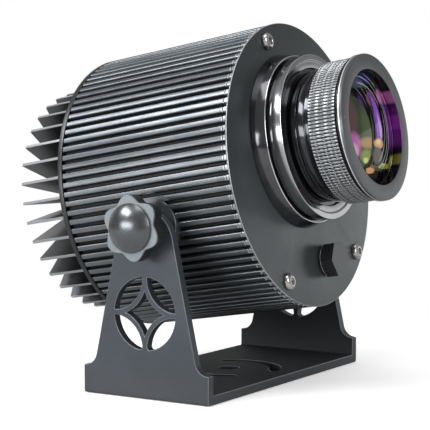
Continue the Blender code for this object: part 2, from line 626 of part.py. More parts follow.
def make_heatsink(body):
    """Round base with a spigot in the bore, radial fins behind it, its seal and four screws."""
    disc = [(SINK_BACK, 0.0), (SINK_BACK, RIB_RADIUS), (SINK_SEAT, RIB_RADIUS), (SINK_SEAT, ROOT_RADIUS),
            (SINK_SEAT - SEAL_DEPTH, ROOT_RADIUS), (SINK_SEAT - SEAL_DEPTH, GROOVE_RADIUS),
            (SINK_SEAT, GROOVE_RADIUS), (SINK_SEAT, SPIGOT_RADIUS), (SINK_FRONT, SPIGOT_RADIUS), (SINK_FRONT, 0.0)]
    sink = lathe("heatsink", disc, "sink_paint", body, 48)
    fins = prism(bmesh.new(), fin_outline(), [], SINK_BACK - FIN_LENGTH, SINK_BACK + MM)
    combine(sink, fins, "UNION", body)
    cuts = []
    for number, angle in enumerate(CHANNEL_ANGLES, 1):
        centre = polar(CHANNEL_CIRCLE, angle)
        through = disc_profile(SINK_BACK - MM, SINK_SEAT + MM, REAR_SCREW_R + GAP)
        cuts.append(turn(bmesh.new(), through, 8, centre))
        socket_screw(f"rear_screw_{number}", body, centre, SINK_BACK - GAP, REAR_SCREW_R,
                     SINK_DISC + REAR_SCREW_REACH - REAR_SCREW_SHORT, REAR_SCREW_HEAD, REAR_SCREW_HEIGHT, up=-1.0)
    for x, y in leg_centres():
        blind = disc_profile(SINK_FRONT - LEG_PIN_REACH - GAP, SINK_FRONT + MM, LEG_PIN + GAP)
        cuts.append(turn(bmesh.new(), blind, 10, (x + LENS_SHIFT, y + LENS_RISE)))
    combine(sink, merged(*cuts), "DIFFERENCE", body)
    ring("rear_seal", SINK_SEAT - SEAL_DEPTH + GAP, SINK_SEAT, GROOVE_RADIUS + GAP, ROOT_RADIUS - GAP, "rubber",
         body, 40)
    return sink


def cap_dome(base, radius, sag, steps):
    """Profile of a spherical cap from its rim to the axis."""
    sphere = (radius ** 2 + sag ** 2) / (2 * sag)
    spread = math.asin(min(1.0, radius / sphere))
    return [(base + sag - sphere + sphere * math.cos(spread * i / steps), sphere * math.sin(spread * i / steps))
            for i in range(steps, -1, -1)]


def lens_profile(back, rim, radius, back_sag, front_sag, flat, steps=3):
    """A spherical lens: domed or flat faces inside a border, and a straight rim from back to back + rim."""
    front, rear = [(back + rim, 0.0)], [(back, 0.0)]
    if front_sag:
        front = cap_dome(back + rim, radius - flat, front_sag, steps)
        front[-1] = (front[-1][0], 0.0)
    if back_sag:
        rear = [(2 * back - z, r) for z, r in reversed(cap_dome(back, radius - flat, back_sag, steps))]
        rear[0] = (rear[0][0], 0.0)
    return rear + [(back, radius), (back + rim, radius)] + front


def make_light(optics, body):
    """Light source, condenser and driver on the heatsink."""
    start = LIGHT_BACK
    square = [(-BOARD_HALF, -BOARD_HALF), (BOARD_HALF, -BOARD_HALF), (BOARD_HALF, BOARD_HALF),
              (-BOARD_HALF, BOARD_HALF)]
    add_object("led_board", prism(bmesh.new(), square, [], start, start + BOARD_THICK), "aluminium", optics)
    emitter = start + BOARD_THICK + GAP
    profile = [(emitter, 0.0), (emitter, EMITTER_RADIUS), (emitter + EMITTER_HEIGHT / 2, EMITTER_RADIUS)]
    profile += cap_dome(emitter + EMITTER_HEIGHT / 2, EMITTER_RADIUS - MM, EMITTER_HEIGHT / 2, 2)[:-1]
    profile.append((emitter + EMITTER_HEIGHT, 0.0))
    lathe("led_emitter", profile, "emitter_yellow", optics, 20)

    seat = start + CONDENSER_SEAT
    tube_front = start + CONDENSER_REACH
    lip = CONDENSER_GLASS - CONDENSER_LEDGE
    tube = [(start, CONDENSER_FOOT), (start + FOOT_THICK, CONDENSER_FOOT), (start + FOOT_THICK, CONDENSER_OUTER),
            (tube_front, CONDENSER_OUTER), (tube_front, CONDENSER_BORE), (seat, CONDENSER_BORE), (seat, lip),
            (seat - LEDGE_THICK, lip), (seat - LEDGE_THICK, CONDENSER_BORE), (start, CONDENSER_BORE)]
    lathe("condenser_tube", tube, "lens_black", optics, 24, closed=True)
    back, flat = seat + GAP, CONDENSER_LEDGE + GAP
    lathe("condenser_lens_rear", lens_profile(back, CONDENSER_RIM, CONDENSER_GLASS, 0.0, REAR_DOME, flat),
          "clear_glass", optics, 24)
    spacer = back + CONDENSER_RIM + GAP
    second = spacer + CONDENSER_SPACE
    ring("condenser_spacer", spacer, second, lip + GAP, CONDENSER_GLASS, "lens_black", optics, 24)
    back = second + GAP
    lathe("condenser_lens_front",
          lens_profile(back, CONDENSER_RIM, CONDENSER_GLASS, INNER_DOME, OUTER_DOME, flat), "clear_glass", optics, 24)
    hold = back + CONDENSER_RIM + GAP
    ring("condenser_ring", hold, hold + CONDENSER_RIM, lip + GAP, CONDENSER_GLASS, "lens_black", optics, 24)
    half, top, bottom = DRIVER_WIDTH / 2, DRIVER_TOP, DRIVER_BOTTOM
    cut = DRIVER_CORNER
    outline = [(-half, bottom + cut), (-half + cut, bottom), (half - cut, bottom), (half, bottom + cut),
               (half, top - cut), (half - cut, top), (-half + cut, top), (-half, top - cut)]
    add_object("led_driver", prism(bmesh.new(), outline, [], start, DRIVER_FRONT), "black_plastic", body)


def gear_outline(teeth, phase):
    """Straight-flanked teeth, thinner than half the pitch so that a pair turns freely."""
    pitch = GEAR_MODULE * teeth / 2
    addendum, dedendum = 0.8 * GEAR_MODULE, 1.1 * GEAR_MODULE
    half = 0.215 * math.pi * GEAR_MODULE
    slope = math.tan(math.radians(20))
    points = []
    for i in range(teeth):
        middle = phase + 2 * math.pi * i / teeth
        for radius, width in ((pitch - dedendum, half + dedendum * slope), (pitch + addendum, half - addendum * slope),
                              (pitch + addendum, -half + addendum * slope), (pitch - dedendum, -half - dedendum * slope)):
            points.append(polar(radius, middle - width / radius))
    return points


def make_gobo(optics):
    """Gobo carrier on three legs, with the turning gobo holder and its motor."""
    plate_front = GOBO_PLATE_Z + GOBO_PLATE_THICK
    foot = LIGHT_BACK
    holes = [circle(BUSH_RADIUS + GAP, 28), circle(MOTOR_BOSS + GAP, 16, (0, -MOTOR_DROP))]
    carrier = add_object("gobo_carrier", prism(bmesh.new(), circle(GOBO_PLATE_RADIUS, 32), holes, GOBO_PLATE_Z,
                                               plate_front), "aluminium", optics)
    legs = []
    for centre in leg_centres():
        profile = [(foot - LEG_PIN_REACH, 0.0), (foot - LEG_PIN_REACH, LEG_PIN), (foot, LEG_PIN), (foot, LEG_RADIUS),
                   (GOBO_PLATE_Z + MM, LEG_RADIUS), (GOBO_PLATE_Z + MM, 0.0)]
        legs.append(turn(bmesh.new(), profile, 12, centre))
    combine(carrier, merged(*legs), "UNION", optics)
    flange = plate_front + GAP
    tail = GOBO_PLATE_Z - BUSH_TAIL
    bush = [(tail, BUSH_BORE), (tail, BUSH_RADIUS), (flange, BUSH_RADIUS), (flange, BUSH_RADIUS + BUSH_RIM),
            (GEAR_BACK - GAP, BUSH_RADIUS + BUSH_RIM), (GEAR_BACK - GAP, BUSH_BORE)]
    lathe("gobo_bush", bush, "brass", optics, 28, closed=True)

    gear_front = GEAR_BACK + GEAR_THICK
    holder = add_object("gobo_holder", prism(bmesh.new(), gear_outline(GEAR_TEETH, math.pi / 2), [], GEAR_BACK,
                                             gear_front), "black_plastic", optics)
    sleeve = disc_profile(tail, GEAR_BACK + MM, BUSH_BORE - GAP)
    combine(holder, turn(bmesh.new(), sleeve, 24), "UNION", optics)
    floor = gear_front - GOBO_POCKET
    window = GOBO_RADIUS - GOBO_LEDGE
    bore = [(tail - MM, 0.0), (tail - MM, window), (floor, window),
            (floor, GOBO_RADIUS + GAP), (gear_front + MM, GOBO_RADIUS + GAP), (gear_front + MM, 0.0)]
    combine(holder, turn(bmesh.new(), bore, 24), "DIFFERENCE", optics)
    lathe("gobo_glass", disc_profile(floor + GAP, floor + GAP + GOBO_THICK, GOBO_RADIUS), "clear_glass", optics, 24)
    hold = floor + 2 * GAP + GOBO_THICK
    ring("gobo_ring", hold, hold + GOBO_RING, window, GOBO_RADIUS, "steel", optics, 24)

    tip = plate_front - GAP
    well = SHAFT_RADIUS + GAP
    motor = [(MOTOR_FACE - MOTOR_LENGTH, 0.0), (MOTOR_FACE - MOTOR_LENGTH, MOTOR_RADIUS),
             (MOTOR_FACE, MOTOR_RADIUS), (MOTOR_FACE, MOTOR_BOSS), (tip, MOTOR_BOSS), (tip, well),
             (MOTOR_FACE - SHAFT_WELL, well), (MOTOR_FACE - SHAFT_WELL, 0.0)]
    drop = (0, -MOTOR_DROP, 0)
    lathe("gobo_motor", motor, "aluminium", optics, 24, drop)
    shaft = disc_profile(MOTOR_FACE - SHAFT_WELL + SHAFT_SHORT, gear_front - 2 * PINION_INSET, SHAFT_RADIUS)
    lathe("motor_shaft", shaft, "steel", optics, 10, drop)
    low, high = GEAR_BACK + PINION_INSET, gear_front - PINION_INSET
    pinion = prism(bmesh.new(), gear_outline(PINION_TEETH, math.pi / 2 + math.pi / PINION_TEETH),
                   [circle(well, 10)], low, high)
    add_object("motor_pinion", pinion, "brass", optics, drop)


def make_lens(optics):
    """Lens mount, lock ring, barrel and the fixed glass inside."""
    mount = [(TUBE_BACK, TUBE_RADIUS - TUBE_WALL), (TUBE_BACK, TUBE_RADIUS), (MOUNT_BACK, TUBE_RADIUS),
             (MOUNT_BACK, MOUNT_RADIUS - MOUNT_EDGE), (MOUNT_BACK + MOUNT_EDGE, MOUNT_RADIUS),
             (MOUNT_FRONT - MOUNT_EDGE, MOUNT_RADIUS - MOUNT_TAPER + MOUNT_EDGE),
             (MOUNT_FRONT, MOUNT_RADIUS - MOUNT_TAPER), (MOUNT_FRONT, NECK_RADIUS), (NECK_FRONT, NECK_RADIUS),
             (NECK_FRONT, COLLAR_RADIUS), (COLLAR_FRONT, COLLAR_RADIUS), (COLLAR_FRONT, TUBE_RADIUS - TUBE_WALL)]
    lathe("lens_mount", mount, "lens_black", optics, 36, closed=True)
    dish = LOCK_FRONT - LOCK_DISH
    lock = [(LOCK_BACK, COLLAR_RADIUS + GAP), (LOCK_BACK, LOCK_RADIUS - LOCK_EDGE),
            (LOCK_BACK + LOCK_EDGE, LOCK_RADIUS), (LOCK_FRONT - LOCK_EDGE, LOCK_RADIUS),
            (LOCK_FRONT, LOCK_RADIUS - LOCK_EDGE), (LOCK_FRONT, LOCK_RADIUS - LOCK_RIM),
            (dish, LOCK_RADIUS - LOCK_RIM - 0.75 * LOCK_DISH), (dish, COLLAR_RADIUS + GAP)]
    lathe("lens_lock_ring", lock, "lens_black", optics, 36, closed=True)
    shoulder = COLLAR_FRONT + GAP
    cup = STEP_FRONT
    seat = INNER_BORE - INNER_LEDGE
    tail, rear_stop, front_stop = TUBE_BACK + TAIL_SHORT, TUBE_BACK + REAR_STOP, cup - FRONT_STOP
    barrel = [(tail, INNER_BORE), (tail, TAIL_RADIUS), (shoulder, TAIL_RADIUS),
              (shoulder, TUBE_RADIUS), (STEP_FRONT - MOUNT_EDGE, TUBE_RADIUS), (STEP_FRONT, BARREL_RADIUS),
              (BARREL_FRONT, BARREL_RADIUS), (BARREL_FRONT, CUP_BORE), (cup, CUP_BORE), (cup, INNER_BORE),
              (front_stop, INNER_BORE), (front_stop, seat), (rear_stop, seat), (rear_stop, INNER_BORE)]
    lathe("lens_barrel", barrel, "lens_black", optics, 36, closed=True)
    back = front_stop + GAP
    lathe("middle_lens", lens_profile(back, INNER_RIM, INNER_GLASS, 0.0, INNER_SAG, INNER_LEDGE), "glass", optics, 28)
    hold = back + INNER_RIM + GAP
    ring("middle_lens_ring", hold, hold + RING_THICK, INNER_GLASS - INNER_RING, INNER_GLASS, "lens_black", optics, 28)
    back = rear_stop - GAP - INNER_RIM
    lathe("rear_lens", lens_profile(back, INNER_RIM, INNER_GLASS, INNER_SAG, 0.0, INNER_LEDGE), "glass",
          optics, 28)
    hold = back - GAP
    ring("rear_lens_ring", hold - RING_THICK, hold, INNER_GLASS - INNER_RING, INNER_GLASS, "lens_black", optics, 28)


def grip_outline():
    points = []
    for i in range(GRIP_TEETH):
        middle = 2 * math.pi * i / GRIP_TEETH
        tip, foot = 0.22 * 2 * math.pi / GRIP_TEETH, 0.36 * 2 * math.pi / GRIP_TEETH
        points += [polar(GRIP_RADIUS - GRIP_DEPTH, middle - foot), polar(GRIP_RADIUS, middle - tip),
                   polar(GRIP_RADIUS, middle + tip), polar(GRIP_RADIUS - GRIP_DEPTH, middle + foot)]
    return points


def make_focus(optics):
    """Knurled focus ring and bezel, and the cell with the front glass that they carry in and out."""
    add_object("focus_ring", prism(bmesh.new(), grip_outline(), [circle(GRIP_BORE, 36)], GRIP_BACK, GRIP_FRONT),
               "grip_grey", optics)
    spigot = GRIP_BORE - GAP
    recess = CELL_RADIUS + GAP
    bezel = [(SPIGOT_BACK, recess), (SPIGOT_BACK, spigot), (GRIP_FRONT + GAP, spigot),
             (GRIP_FRONT + GAP, spigot + BEZEL_STEP), (BEZEL_BACK, spigot + BEZEL_STEP),
             (BEZEL_BACK, BEZEL_RADIUS - BEZEL_EDGE), (BEZEL_BACK + BEZEL_EDGE, BEZEL_RADIUS),
             (BEZEL_FRONT - BEZEL_SOFT, BEZEL_RADIUS), (BEZEL_FRONT, BEZEL_RADIUS - BEZEL_SOFT),
             (BEZEL_FRONT, BEZEL_HOLE + HOLE_SOFT), (BEZEL_FRONT - HOLE_SOFT, BEZEL_HOLE),
             (BEZEL_THROAT, BEZEL_HOLE), (BEZEL_THROAT, recess)]
    lathe("focus_bezel", bezel, "plate_paint", optics, 36, closed=True)

    seat = FRONT_RIM - GAP
    ledge = SEAT_BORE - RING_WIDTH - GAP
    cell = [(CELL_BACK, CELL_RADIUS), (CELL_FRONT, CELL_RADIUS), (CELL_FRONT, SEAT_BORE), (seat, SEAT_BORE),
            (seat, ledge)]
    for i in range(1, CELL_STEPS + 1):
        step = seat - i * CELL_STEP_LENGTH
        cell += [(step, ledge - (i - 1) * CELL_STEP_RISE), (step, ledge - i * CELL_STEP_RISE)]
    cell.append((CELL_BACK, ledge - CELL_STEPS * CELL_STEP_RISE))
    lathe("lens_cell", cell, "lens_black", optics, 32, closed=True)
    lathe("front_lens", lens_profile(FRONT_RIM, GLASS_RIM, FRONT_GLASS, 0.0, FRONT_SAG, RING_WIDTH, 3), "glass",
          optics, 32)
    ring("front_lens_ring", FRONT_HOLD, FRONT_HOLD + RING_THICK, FRONT_GLASS - RING_WIDTH + GAP, FRONT_GLASS,
         "lens_black", optics, 32)


def make_gland(body):
    """Cable gland with its seal, locknut and dome nut, on the shoulder away from the camera."""
    spot = RIB_RADIUS - GLAND_SEAT
    seal = spot + GAP
    hex_back = seal + GLAND_SEAL + GAP
    hex_front = hex_back + GLAND_HEX
    tip = hex_front + GLAND_NUT * 0.7
    bore = GLAND_BORE
    nut_edge = BORE * math.cos(math.asin((GLAND_FLATS / 2) / BORE)) - GAP
    frame = empty("gland_frame", body, (0, 0, GLAND_Z))
    frame.rotation_mode = "QUATERNION"
    frame.rotation_quaternion = gland_matrix().to_quaternion()
    locknut = nut_edge - GLAND_LOCK
    tail = locknut - GLAND_TAIL
    shank = [(tail, bore), (tail, GLAND_THREAD), (hex_back, GLAND_THREAD),
             (hex_back, GLAND_FLATS / 2, "hex"), (hex_front, GLAND_FLATS / 2, "hex"),
             (hex_front, GLAND_THREAD), (tip, GLAND_THREAD), (tip, bore)]
    lathe("gland_body", shank, "black_plastic", frame, 12, closed=True)
    ring("gland_seal", seal, seal + GLAND_SEAL, GLAND_THREAD + GAP, GLAND_FLATS / 2, "rubber", frame, 12)
    inner = GLAND_THREAD + GAP
    nut = [(locknut, inner), (locknut, GLAND_FLATS / 2 - MM), (nut_edge, GLAND_FLATS / 2 - MM),
           (nut_edge, inner)]
    lathe("gland_locknut", nut, "black_plastic", frame, 12, closed=True)
    base = hex_front + GAP
    dome = [(base, inner), (base, GLAND_FLATS / 2 - 0.5 * MM), (base + GLAND_NUT * 0.5, GLAND_FLATS / 2 - MM),
            (base + GLAND_NUT * 0.85, GLAND_FLATS / 2 - 4 * MM), (base + GLAND_NUT, bore + 1.5 * MM),
            (base + GLAND_NUT, bore), (tip + GAP, bore), (tip + GAP, inner)]
    lathe("gland_nut", dome, "black_plastic", frame, 12, closed=True)


def arm_outline():
    """Side view of the bracket, x to the rear and y up from the ground, walked round anticlockwise."""
    half = BASE_LENGTH / 2
    middle = Vector((0.0, PIVOT_HEIGHT - ARM_HEAD_DROP))
    foot = Vector((ARM_FOOT, LIP_HEIGHT + ARM_FOOT_UP))
    # The tapering edge is tangent to the rounded head.
    out = foot - middle
    lean = math.atan2(out.y, out.x) + math.acos(ARM_HEAD / out.length)
    along = (middle + Vector(polar(ARM_HEAD, lean)) - foot).normalized()
    normal = Vector((along.y, -along.x))
    # The fillet is tangent to the tapering edge and to the lip's top.
    rise = (LIP_HEIGHT + FILLET - foot.y - normal.y * FILLET) / along.y
    centre = foot + normal * FILLET + along * rise
    end = math.atan2(-normal.y, -normal.x) % (2 * math.pi)
    fillet = arc(centre, FILLET, 1.5 * math.pi, end, 6)
    head = arc(middle, ARM_HEAD, lean, math.pi - lean, 12)
    left = [(-x, y) for x, y in reversed(fillet)]
    return [(-half, -MM), (half, -MM), (half, LIP_HEIGHT)] + fillet + head + left + [(-half, LIP_HEIGHT)]


def window_outlines():
    """Four lens-shaped windows inside a circle, and the hollow diamond between them."""
    centre = Vector((0.0, PIVOT_HEIGHT - WINDOW_DROP))
    bend = WINDOW_RADIUS - STRIP / 2
    apart = WINDOW_RADIUS * math.sqrt(2)
    reach = WINDOW_RADIUS + STRIP / 2
    span = math.pi / 4 - math.acos(WINDOW_RADIUS / reach)
    outlines, star = [], []
    for k in range(4):
        out = math.pi / 4 + k * math.pi / 2
        corner = centre + Vector(polar(apart, out))
        tips = []
        for sign, low in ((-1, k == 3), (1, k == 2)):
            # Each tip is a small circle touching both arcs from inside.
            small = LOW_TIP_ROUND if low else TIP_ROUND
            ahead = ((WINDOW_RADIUS - small) ** 2 - (bend - small) ** 2 + apart ** 2) / (2 * apart)
            aside = sign * math.sqrt((WINDOW_RADIUS - small) ** 2 - ahead ** 2)
            place = centre + Vector(polar(ahead, out)) + Vector(polar(aside, out + math.pi / 2))
            back = place - corner
            tips.append((place, small, out + math.atan2(aside, ahead), math.atan2(back.y, back.x)))
        (first, first_r, rim_start, bend_end), (last, last_r, rim_end, bend_start) = tips
        bend_start = rim_end + (bend_start - rim_end) % (2 * math.pi)
        bend_end = bend_start + (bend_end - bend_start) % (2 * math.pi)
        close = bend_end + (rim_start - bend_end) % (2 * math.pi)
        outlines.append(arc(centre, WINDOW_RADIUS, rim_start, rim_end, 6) + arc(last, last_r, rim_end, bend_start, 2)[1:]
                        + arc(corner, bend, bend_start, bend_end, 6)[1:] + arc(first, first_r, bend_end, close, 2)[1:-1])
        star += arc(corner, reach, out + math.pi + span, out + math.pi - span, 5)[:-1]
    outlines.append(star)
    return outlines


def slot_outline(middle):
    """A curved slot with round ends about the base's centre."""
    low, high = middle - SLOT_SPAN, middle + SLOT_SPAN
    inner, outer = SLOT_RADIUS - SLOT_HALF, SLOT_RADIUS + SLOT_HALF
    end_high = arc(polar(SLOT_RADIUS, high), SLOT_HALF, high, high + math.pi, 5)
    end_low = arc(polar(SLOT_RADIUS, low), SLOT_HALF, low + math.pi, low + 2 * math.pi, 5)
    return arc((0, 0), outer, low, high, 8) + end_high[1:] + arc((0, 0), inner, high, low, 8)[1:] + end_low[1:-1]


def bend_section():
    """U section of the bent sheet, x across and y up, open at the top."""
    top = PIVOT_HEIGHT + 2 * ARM_HEAD
    quarter = math.pi / 2
    outside = arc((-OUTER_FACE + BEND_OUTSIDE, BEND_OUTSIDE), BEND_OUTSIDE, 2 * quarter, 3 * quarter, 2)
    outside += arc((OUTER_FACE - BEND_OUTSIDE, BEND_OUTSIDE), BEND_OUTSIDE, 3 * quarter, 4 * quarter, 2)
    level = SHEET + BEND_INSIDE
    inside = arc((INNER_FACE - BEND_INSIDE, level), BEND_INSIDE, 0.0, -quarter, 2)
    inside += arc((-INNER_FACE + BEND_INSIDE, level), BEND_INSIDE, -quarter, -2 * quarter, 2)
    return ([(-OUTER_FACE, top)] + outside + [(OUTER_FACE, top), (INNER_FACE, top)] + inside + [(-INNER_FACE, top)])


def make_bracket():
    """U bracket bent from sheet: a base with slots and two arms with windows."""
    half = BASE_LENGTH / 2 + MM
    frame = empty("bracket_frame", None, (0, PIVOT_Y, 0))
    upright = Matrix.Rotation(math.pi / 2, 4, "X")
    section = transformed(prism(bmesh.new(), bend_section(), [], -half, half), upright)
    bracket = add_object("bracket", section, "bracket_paint", frame)
    holes = [circle(PIVOT_HOLE, 20, (0.0, PIVOT_HEIGHT))] + window_outlines()
    side = prism(bmesh.new(), arm_outline(), holes, -OUTER_FACE - MM, OUTER_FACE + MM)
    combine(bracket, transformed(side, Matrix.Rotation(math.pi / 2, 4, "Z") @ upright), "INTERSECT", frame)
    cuts = [prism(bmesh.new(), outline, [], -MM, SHEET + MM)
            for outline in (circle(BASE_HOLE, 20), slot_outline(SLOT_TURN), slot_outline(SLOT_TURN + math.pi))]
    combine(bracket, merged(*cuts), "DIFFERENCE", frame)
    return bracket


def star_outline():
    """Six round lobes."""
    count = 60
    points = []
    for i in range(count):
        angle = 2 * math.pi * i / count
        wave = (1 + math.cos(6 * (angle - math.pi / 2))) / 2
        points.append(polar(STAR_RADIUS - STAR_DIP * (1 - wave ** 0.8), angle))
    return points


def make_knob(side, head):
    """Clamp screw of one side: washers, star knob, polished cap and stud."""
    name = "near" if side < 0 else "far"
    frame = empty(f"{name}_pivot", head, rotation=TO_NEAR if side < 0 else TO_FAR)
    ring(f"{name}_friction_washer", PAD_FACE + GAP, INNER_FACE - GAP, STUD_RADIUS + 2 * GAP, FRICTION_RADIUS,
         "rubber", frame, 24)
    washer = OUTER_FACE + GAP
    ring(f"{name}_clamp_washer", washer, washer + WASHER_THICK, STUD_RADIUS + GAP, WASHER_RADIUS, "steel", frame, 24)
    hub = washer + WASHER_THICK + GAP
    star = hub + HUB_LENGTH
    front = star + STAR_THICK
    knob = add_object(f"{name}_knob", prism(bmesh.new(), star_outline(), [], star, front), "knob_grey", frame)
    combine(knob, turn(bmesh.new(), disc_profile(hub, star + MM, HUB_RADIUS), 24), "UNION", frame)
    socket = front - 1.5 * MM
    combine(knob, turn(bmesh.new(), disc_profile(hub - MM, socket, STUD_RADIUS + GAP), 16), "DIFFERENCE", frame)
    lathe(f"{name}_knob_stud", disc_profile(PAD_FACE - STUD_REACH, socket - GAP, STUD_RADIUS), "steel", frame, 16)
    base = front + GAP
    cap = [(base, 0.0), (base, CAP_RADIUS)] + cap_dome(base + 0.6 * MM, CAP_RADIUS, CAP_HEIGHT - 0.6 * MM, 4)
    cap[-1] = (base + CAP_HEIGHT, 0.0)
    lathe(f"{name}_knob_cap", cap, "knob_dark", frame, 24)


def main():
    for obj in list(bpy.data.objects):
        bpy.data.objects.remove(obj)
    head = empty("head_frame", None, (0, PIVOT_Y, PIVOT_HEIGHT), (-TILT, 0, 0))
    body = empty("housing_frame", head, (0, 0, AXIS_RISE), FORWARD)
    optics = empty("optics_frame", head, (LENS_SHIFT, 0, LENS_AXIS), FORWARD)
    make_bracket()
    make_housing(body)
    make_front(body)
    make_heatsink(body)
    make_light(optics, body)
    make_gobo(optics)
    make_lens(optics)
    make_focus(optics)
    make_gland(body)
    for side in (-1, 1):
        make_knob(side, head)


main()
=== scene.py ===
import json
import math

import bmesh
import bpy
from mathutils import Matrix, Vector


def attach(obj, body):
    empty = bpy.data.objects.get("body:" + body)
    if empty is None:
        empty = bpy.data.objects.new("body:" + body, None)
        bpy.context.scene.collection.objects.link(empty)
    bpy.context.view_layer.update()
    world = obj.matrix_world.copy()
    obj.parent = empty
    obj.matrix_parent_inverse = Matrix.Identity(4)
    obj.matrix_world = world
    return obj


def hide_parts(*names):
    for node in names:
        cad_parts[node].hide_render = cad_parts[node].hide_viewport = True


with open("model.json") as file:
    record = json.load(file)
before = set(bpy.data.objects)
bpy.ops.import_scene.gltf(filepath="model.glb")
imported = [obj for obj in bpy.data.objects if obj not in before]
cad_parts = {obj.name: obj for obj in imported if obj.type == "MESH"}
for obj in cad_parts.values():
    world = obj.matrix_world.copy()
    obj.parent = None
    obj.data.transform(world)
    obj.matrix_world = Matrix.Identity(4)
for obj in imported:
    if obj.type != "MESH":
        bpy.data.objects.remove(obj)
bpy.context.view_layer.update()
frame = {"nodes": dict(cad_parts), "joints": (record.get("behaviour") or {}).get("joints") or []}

nodes = frame["nodes"]
scene = bpy.context.scene
mm = 0.001
turnFull = 2 * math.pi


def report(text):
    print("gobo projector:", text)


# the tilt axis and the lens axis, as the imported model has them
joints = {joint["name"]: joint for joint in frame["joints"]}
pivot = Vector(joints["head_tilt"]["pos_m"])
lensPoint = Vector(joints["gobo_spin"]["pos_m"])
forward = Vector(joints["gobo_spin"]["axis"]).normalized()
side = Vector((1, 0, 0))
up = forward.cross(side)
bodyRise = 24 * mm  # housing axis above the tilt pivot
bevelAngle = math.radians(50)  # edges sharper than this are rounded


def placed(origin, x, y, z):
    matrix = Matrix((x, y, z)).transposed().to_4x4()
    matrix.translation = origin
    return matrix


# pieces are drawn in mm about their own Z axis, and these put them in the model
bodyPlace = placed(pivot + up * bodyRise, side, up, forward)
lensPlace = placed(lensPoint, side, up, forward)
nearPlace = placed(pivot, forward, up, -side)
farPlace = placed(pivot, -forward, up, side)
bracketPlace = Matrix.Translation((0, pivot.y, 0))


class Field:
    # wraps one socket of a surface's tree, so that arithmetic on it adds Math nodes
    def __init__(self, surface, socket):
        self.surface = surface
        self.socket = socket

    def maths(self, operation, other=0.0, swapped=False):
        first, second = (other, self) if swapped else (self, other)
        return self.surface.node("ShaderNodeMath", {"operation": operation}, {0: first, 1: second})

    def __add__(self, other):
        return self.maths("ADD", other)

    def __sub__(self, other):
        return self.maths("SUBTRACT", other)

    def __rsub__(self, other):
        return self.maths("SUBTRACT", other, True)

    def __mul__(self, other):
        return self.maths("MULTIPLY", other)

    def __truediv__(self, other):
        return self.maths("DIVIDE", other)

    __radd__ = __add__
    __rmul__ = __mul__

    def step(self, low, high):
        # 0 below low, 1 above high, smooth between
        return self.surface.node("ShaderNodeMapRange", {"interpolation_type": "SMOOTHSTEP"},
                                 {"Value": self, "From Min": low, "From Max": high})


def addNode(tree, kind, settings=None, values=None):
    # makes a node: its settings first, then the values or links of its inputs
    made = tree.nodes.new(kind)
    for key, value in (settings or {}).items():
        setattr(made, key, value)
    for key, value in (values or {}).items():
        source = value.socket if isinstance(value, Field) else value
        if isinstance(source, bpy.types.NodeSocket):
            tree.links.new(source, made.inputs[key])
        else:
            made.inputs[key].default_value = source
    return made


class Surface:
    # a Principled material built from expressions
    def __init__(self, name, color, roughness, metallic=0.0, place=None, **fixed):
        self.material = bpy.data.materials.new(name)
        self.material.use_nodes = True
        self.tree = self.material.node_tree
        self.shader = self.tree.nodes["Principled BSDF"]
        fixed.update(Base_Color=(*color, 1), Roughness=roughness, Metallic=metallic)
        for label, value in fixed.items():
            self.shader.inputs[label.replace("_", " ")].default_value = value
        self.points = self.node("ShaderNodeTexCoord", {}, {}, "Object")
        if place is not None:
            inverse = place.inverted()
            values = {"Vector": self.points, "Location": inverse.translation, "Rotation": inverse.to_euler()}
            self.points = self.node("ShaderNodeMapping", {"vector_type": "POINT"}, values, "Vector")

    def node(self, kind, settings=None, values=None, output=0):
        return Field(self, addNode(self.tree, kind, settings, values).outputs[output])

    def feed(self, **links):
        for label, value in links.items():
            self.tree.links.new(value.socket, self.shader.inputs[label.replace("_", " ")])
        return self

    def axes(self):
        # x, y and z as three fields
        split = addNode(self.tree, "ShaderNodeSeparateXYZ", {}, {"Vector": self.points})
        return [Field(self, socket) for socket in split.outputs]

    def polar(self):
        # radius from the part's own axis, angle about it and distance along it
        x, y, z = self.axes()
        return (x * x + y * y).maths("SQRT"), y.maths("ARCTAN2", x), z

    def stretched(self, scale):
        return self.node("ShaderNodeVectorMath", {"operation": "MULTIPLY"}, {0: self.points, 1: scale})

    def noise(self, scale, detail=3.0, rough=0.55, points=None):
        values = {"Vector": points or self.points, "Scale": scale, "Detail": detail, "Roughness": rough}
        return self.node("ShaderNodeTexNoise", {}, values)

    def joined(self, x, y, z):
        return self.node("ShaderNodeCombineXYZ", {}, {"X": x, "Y": y, "Z": z})

    def latheLines(self, radius, angle, along, scale, around):
        return self.noise(1.0, 2.0, 0.6, self.joined(radius * scale, angle * around, along * scale))

    def mixed(self, factor, first, second):
        return self.node("ShaderNodeMix", {"data_type": "RGBA"},
                         {"Factor": factor, 6: colorOf(first), 7: colorOf(second)}, 2)

    def bump(self, height, strength, distance=0.1 * mm):
        values = {"Height": height, "Strength": strength, "Distance": distance}
        return self.feed(Normal=self.node("ShaderNodeBump", {}, values))


def colorOf(value):
    return value if isinstance(value, Field) else (*value, 1)


def softened(points, radius, closed=False, steps=3):
    # replaces each corner by a short curve; a point's third number overrides the radius
    soft = []
    count = len(points)
    for i, point in enumerate(points):
        here = Vector(point[:2])
        size = point[2] if len(point) > 2 else radius
        if not closed and i in (0, count - 1) or size == 0:
            soft.append(tuple(here))
            continue
        before, after = Vector(points[i - 1][:2]), Vector(points[(i + 1) % count][:2])
        back, on = before - here, after - here
        reach = min(size, back.length * 0.45, on.length * 0.45)  # leaves some of both sides straight
        start, end = here + back.normalized() * reach, here + on.normalized() * reach
        for k in range(steps + 1):
            t = k / steps
            soft.append(tuple(start * (1 - t) ** 2 + here * 2 * t * (1 - t) + end * t ** 2))
    return soft


def hexReach(flats, angle):
    return flats / 2 / math.cos((angle + math.pi / 6) % (math.pi / 3) - math.pi / 6)


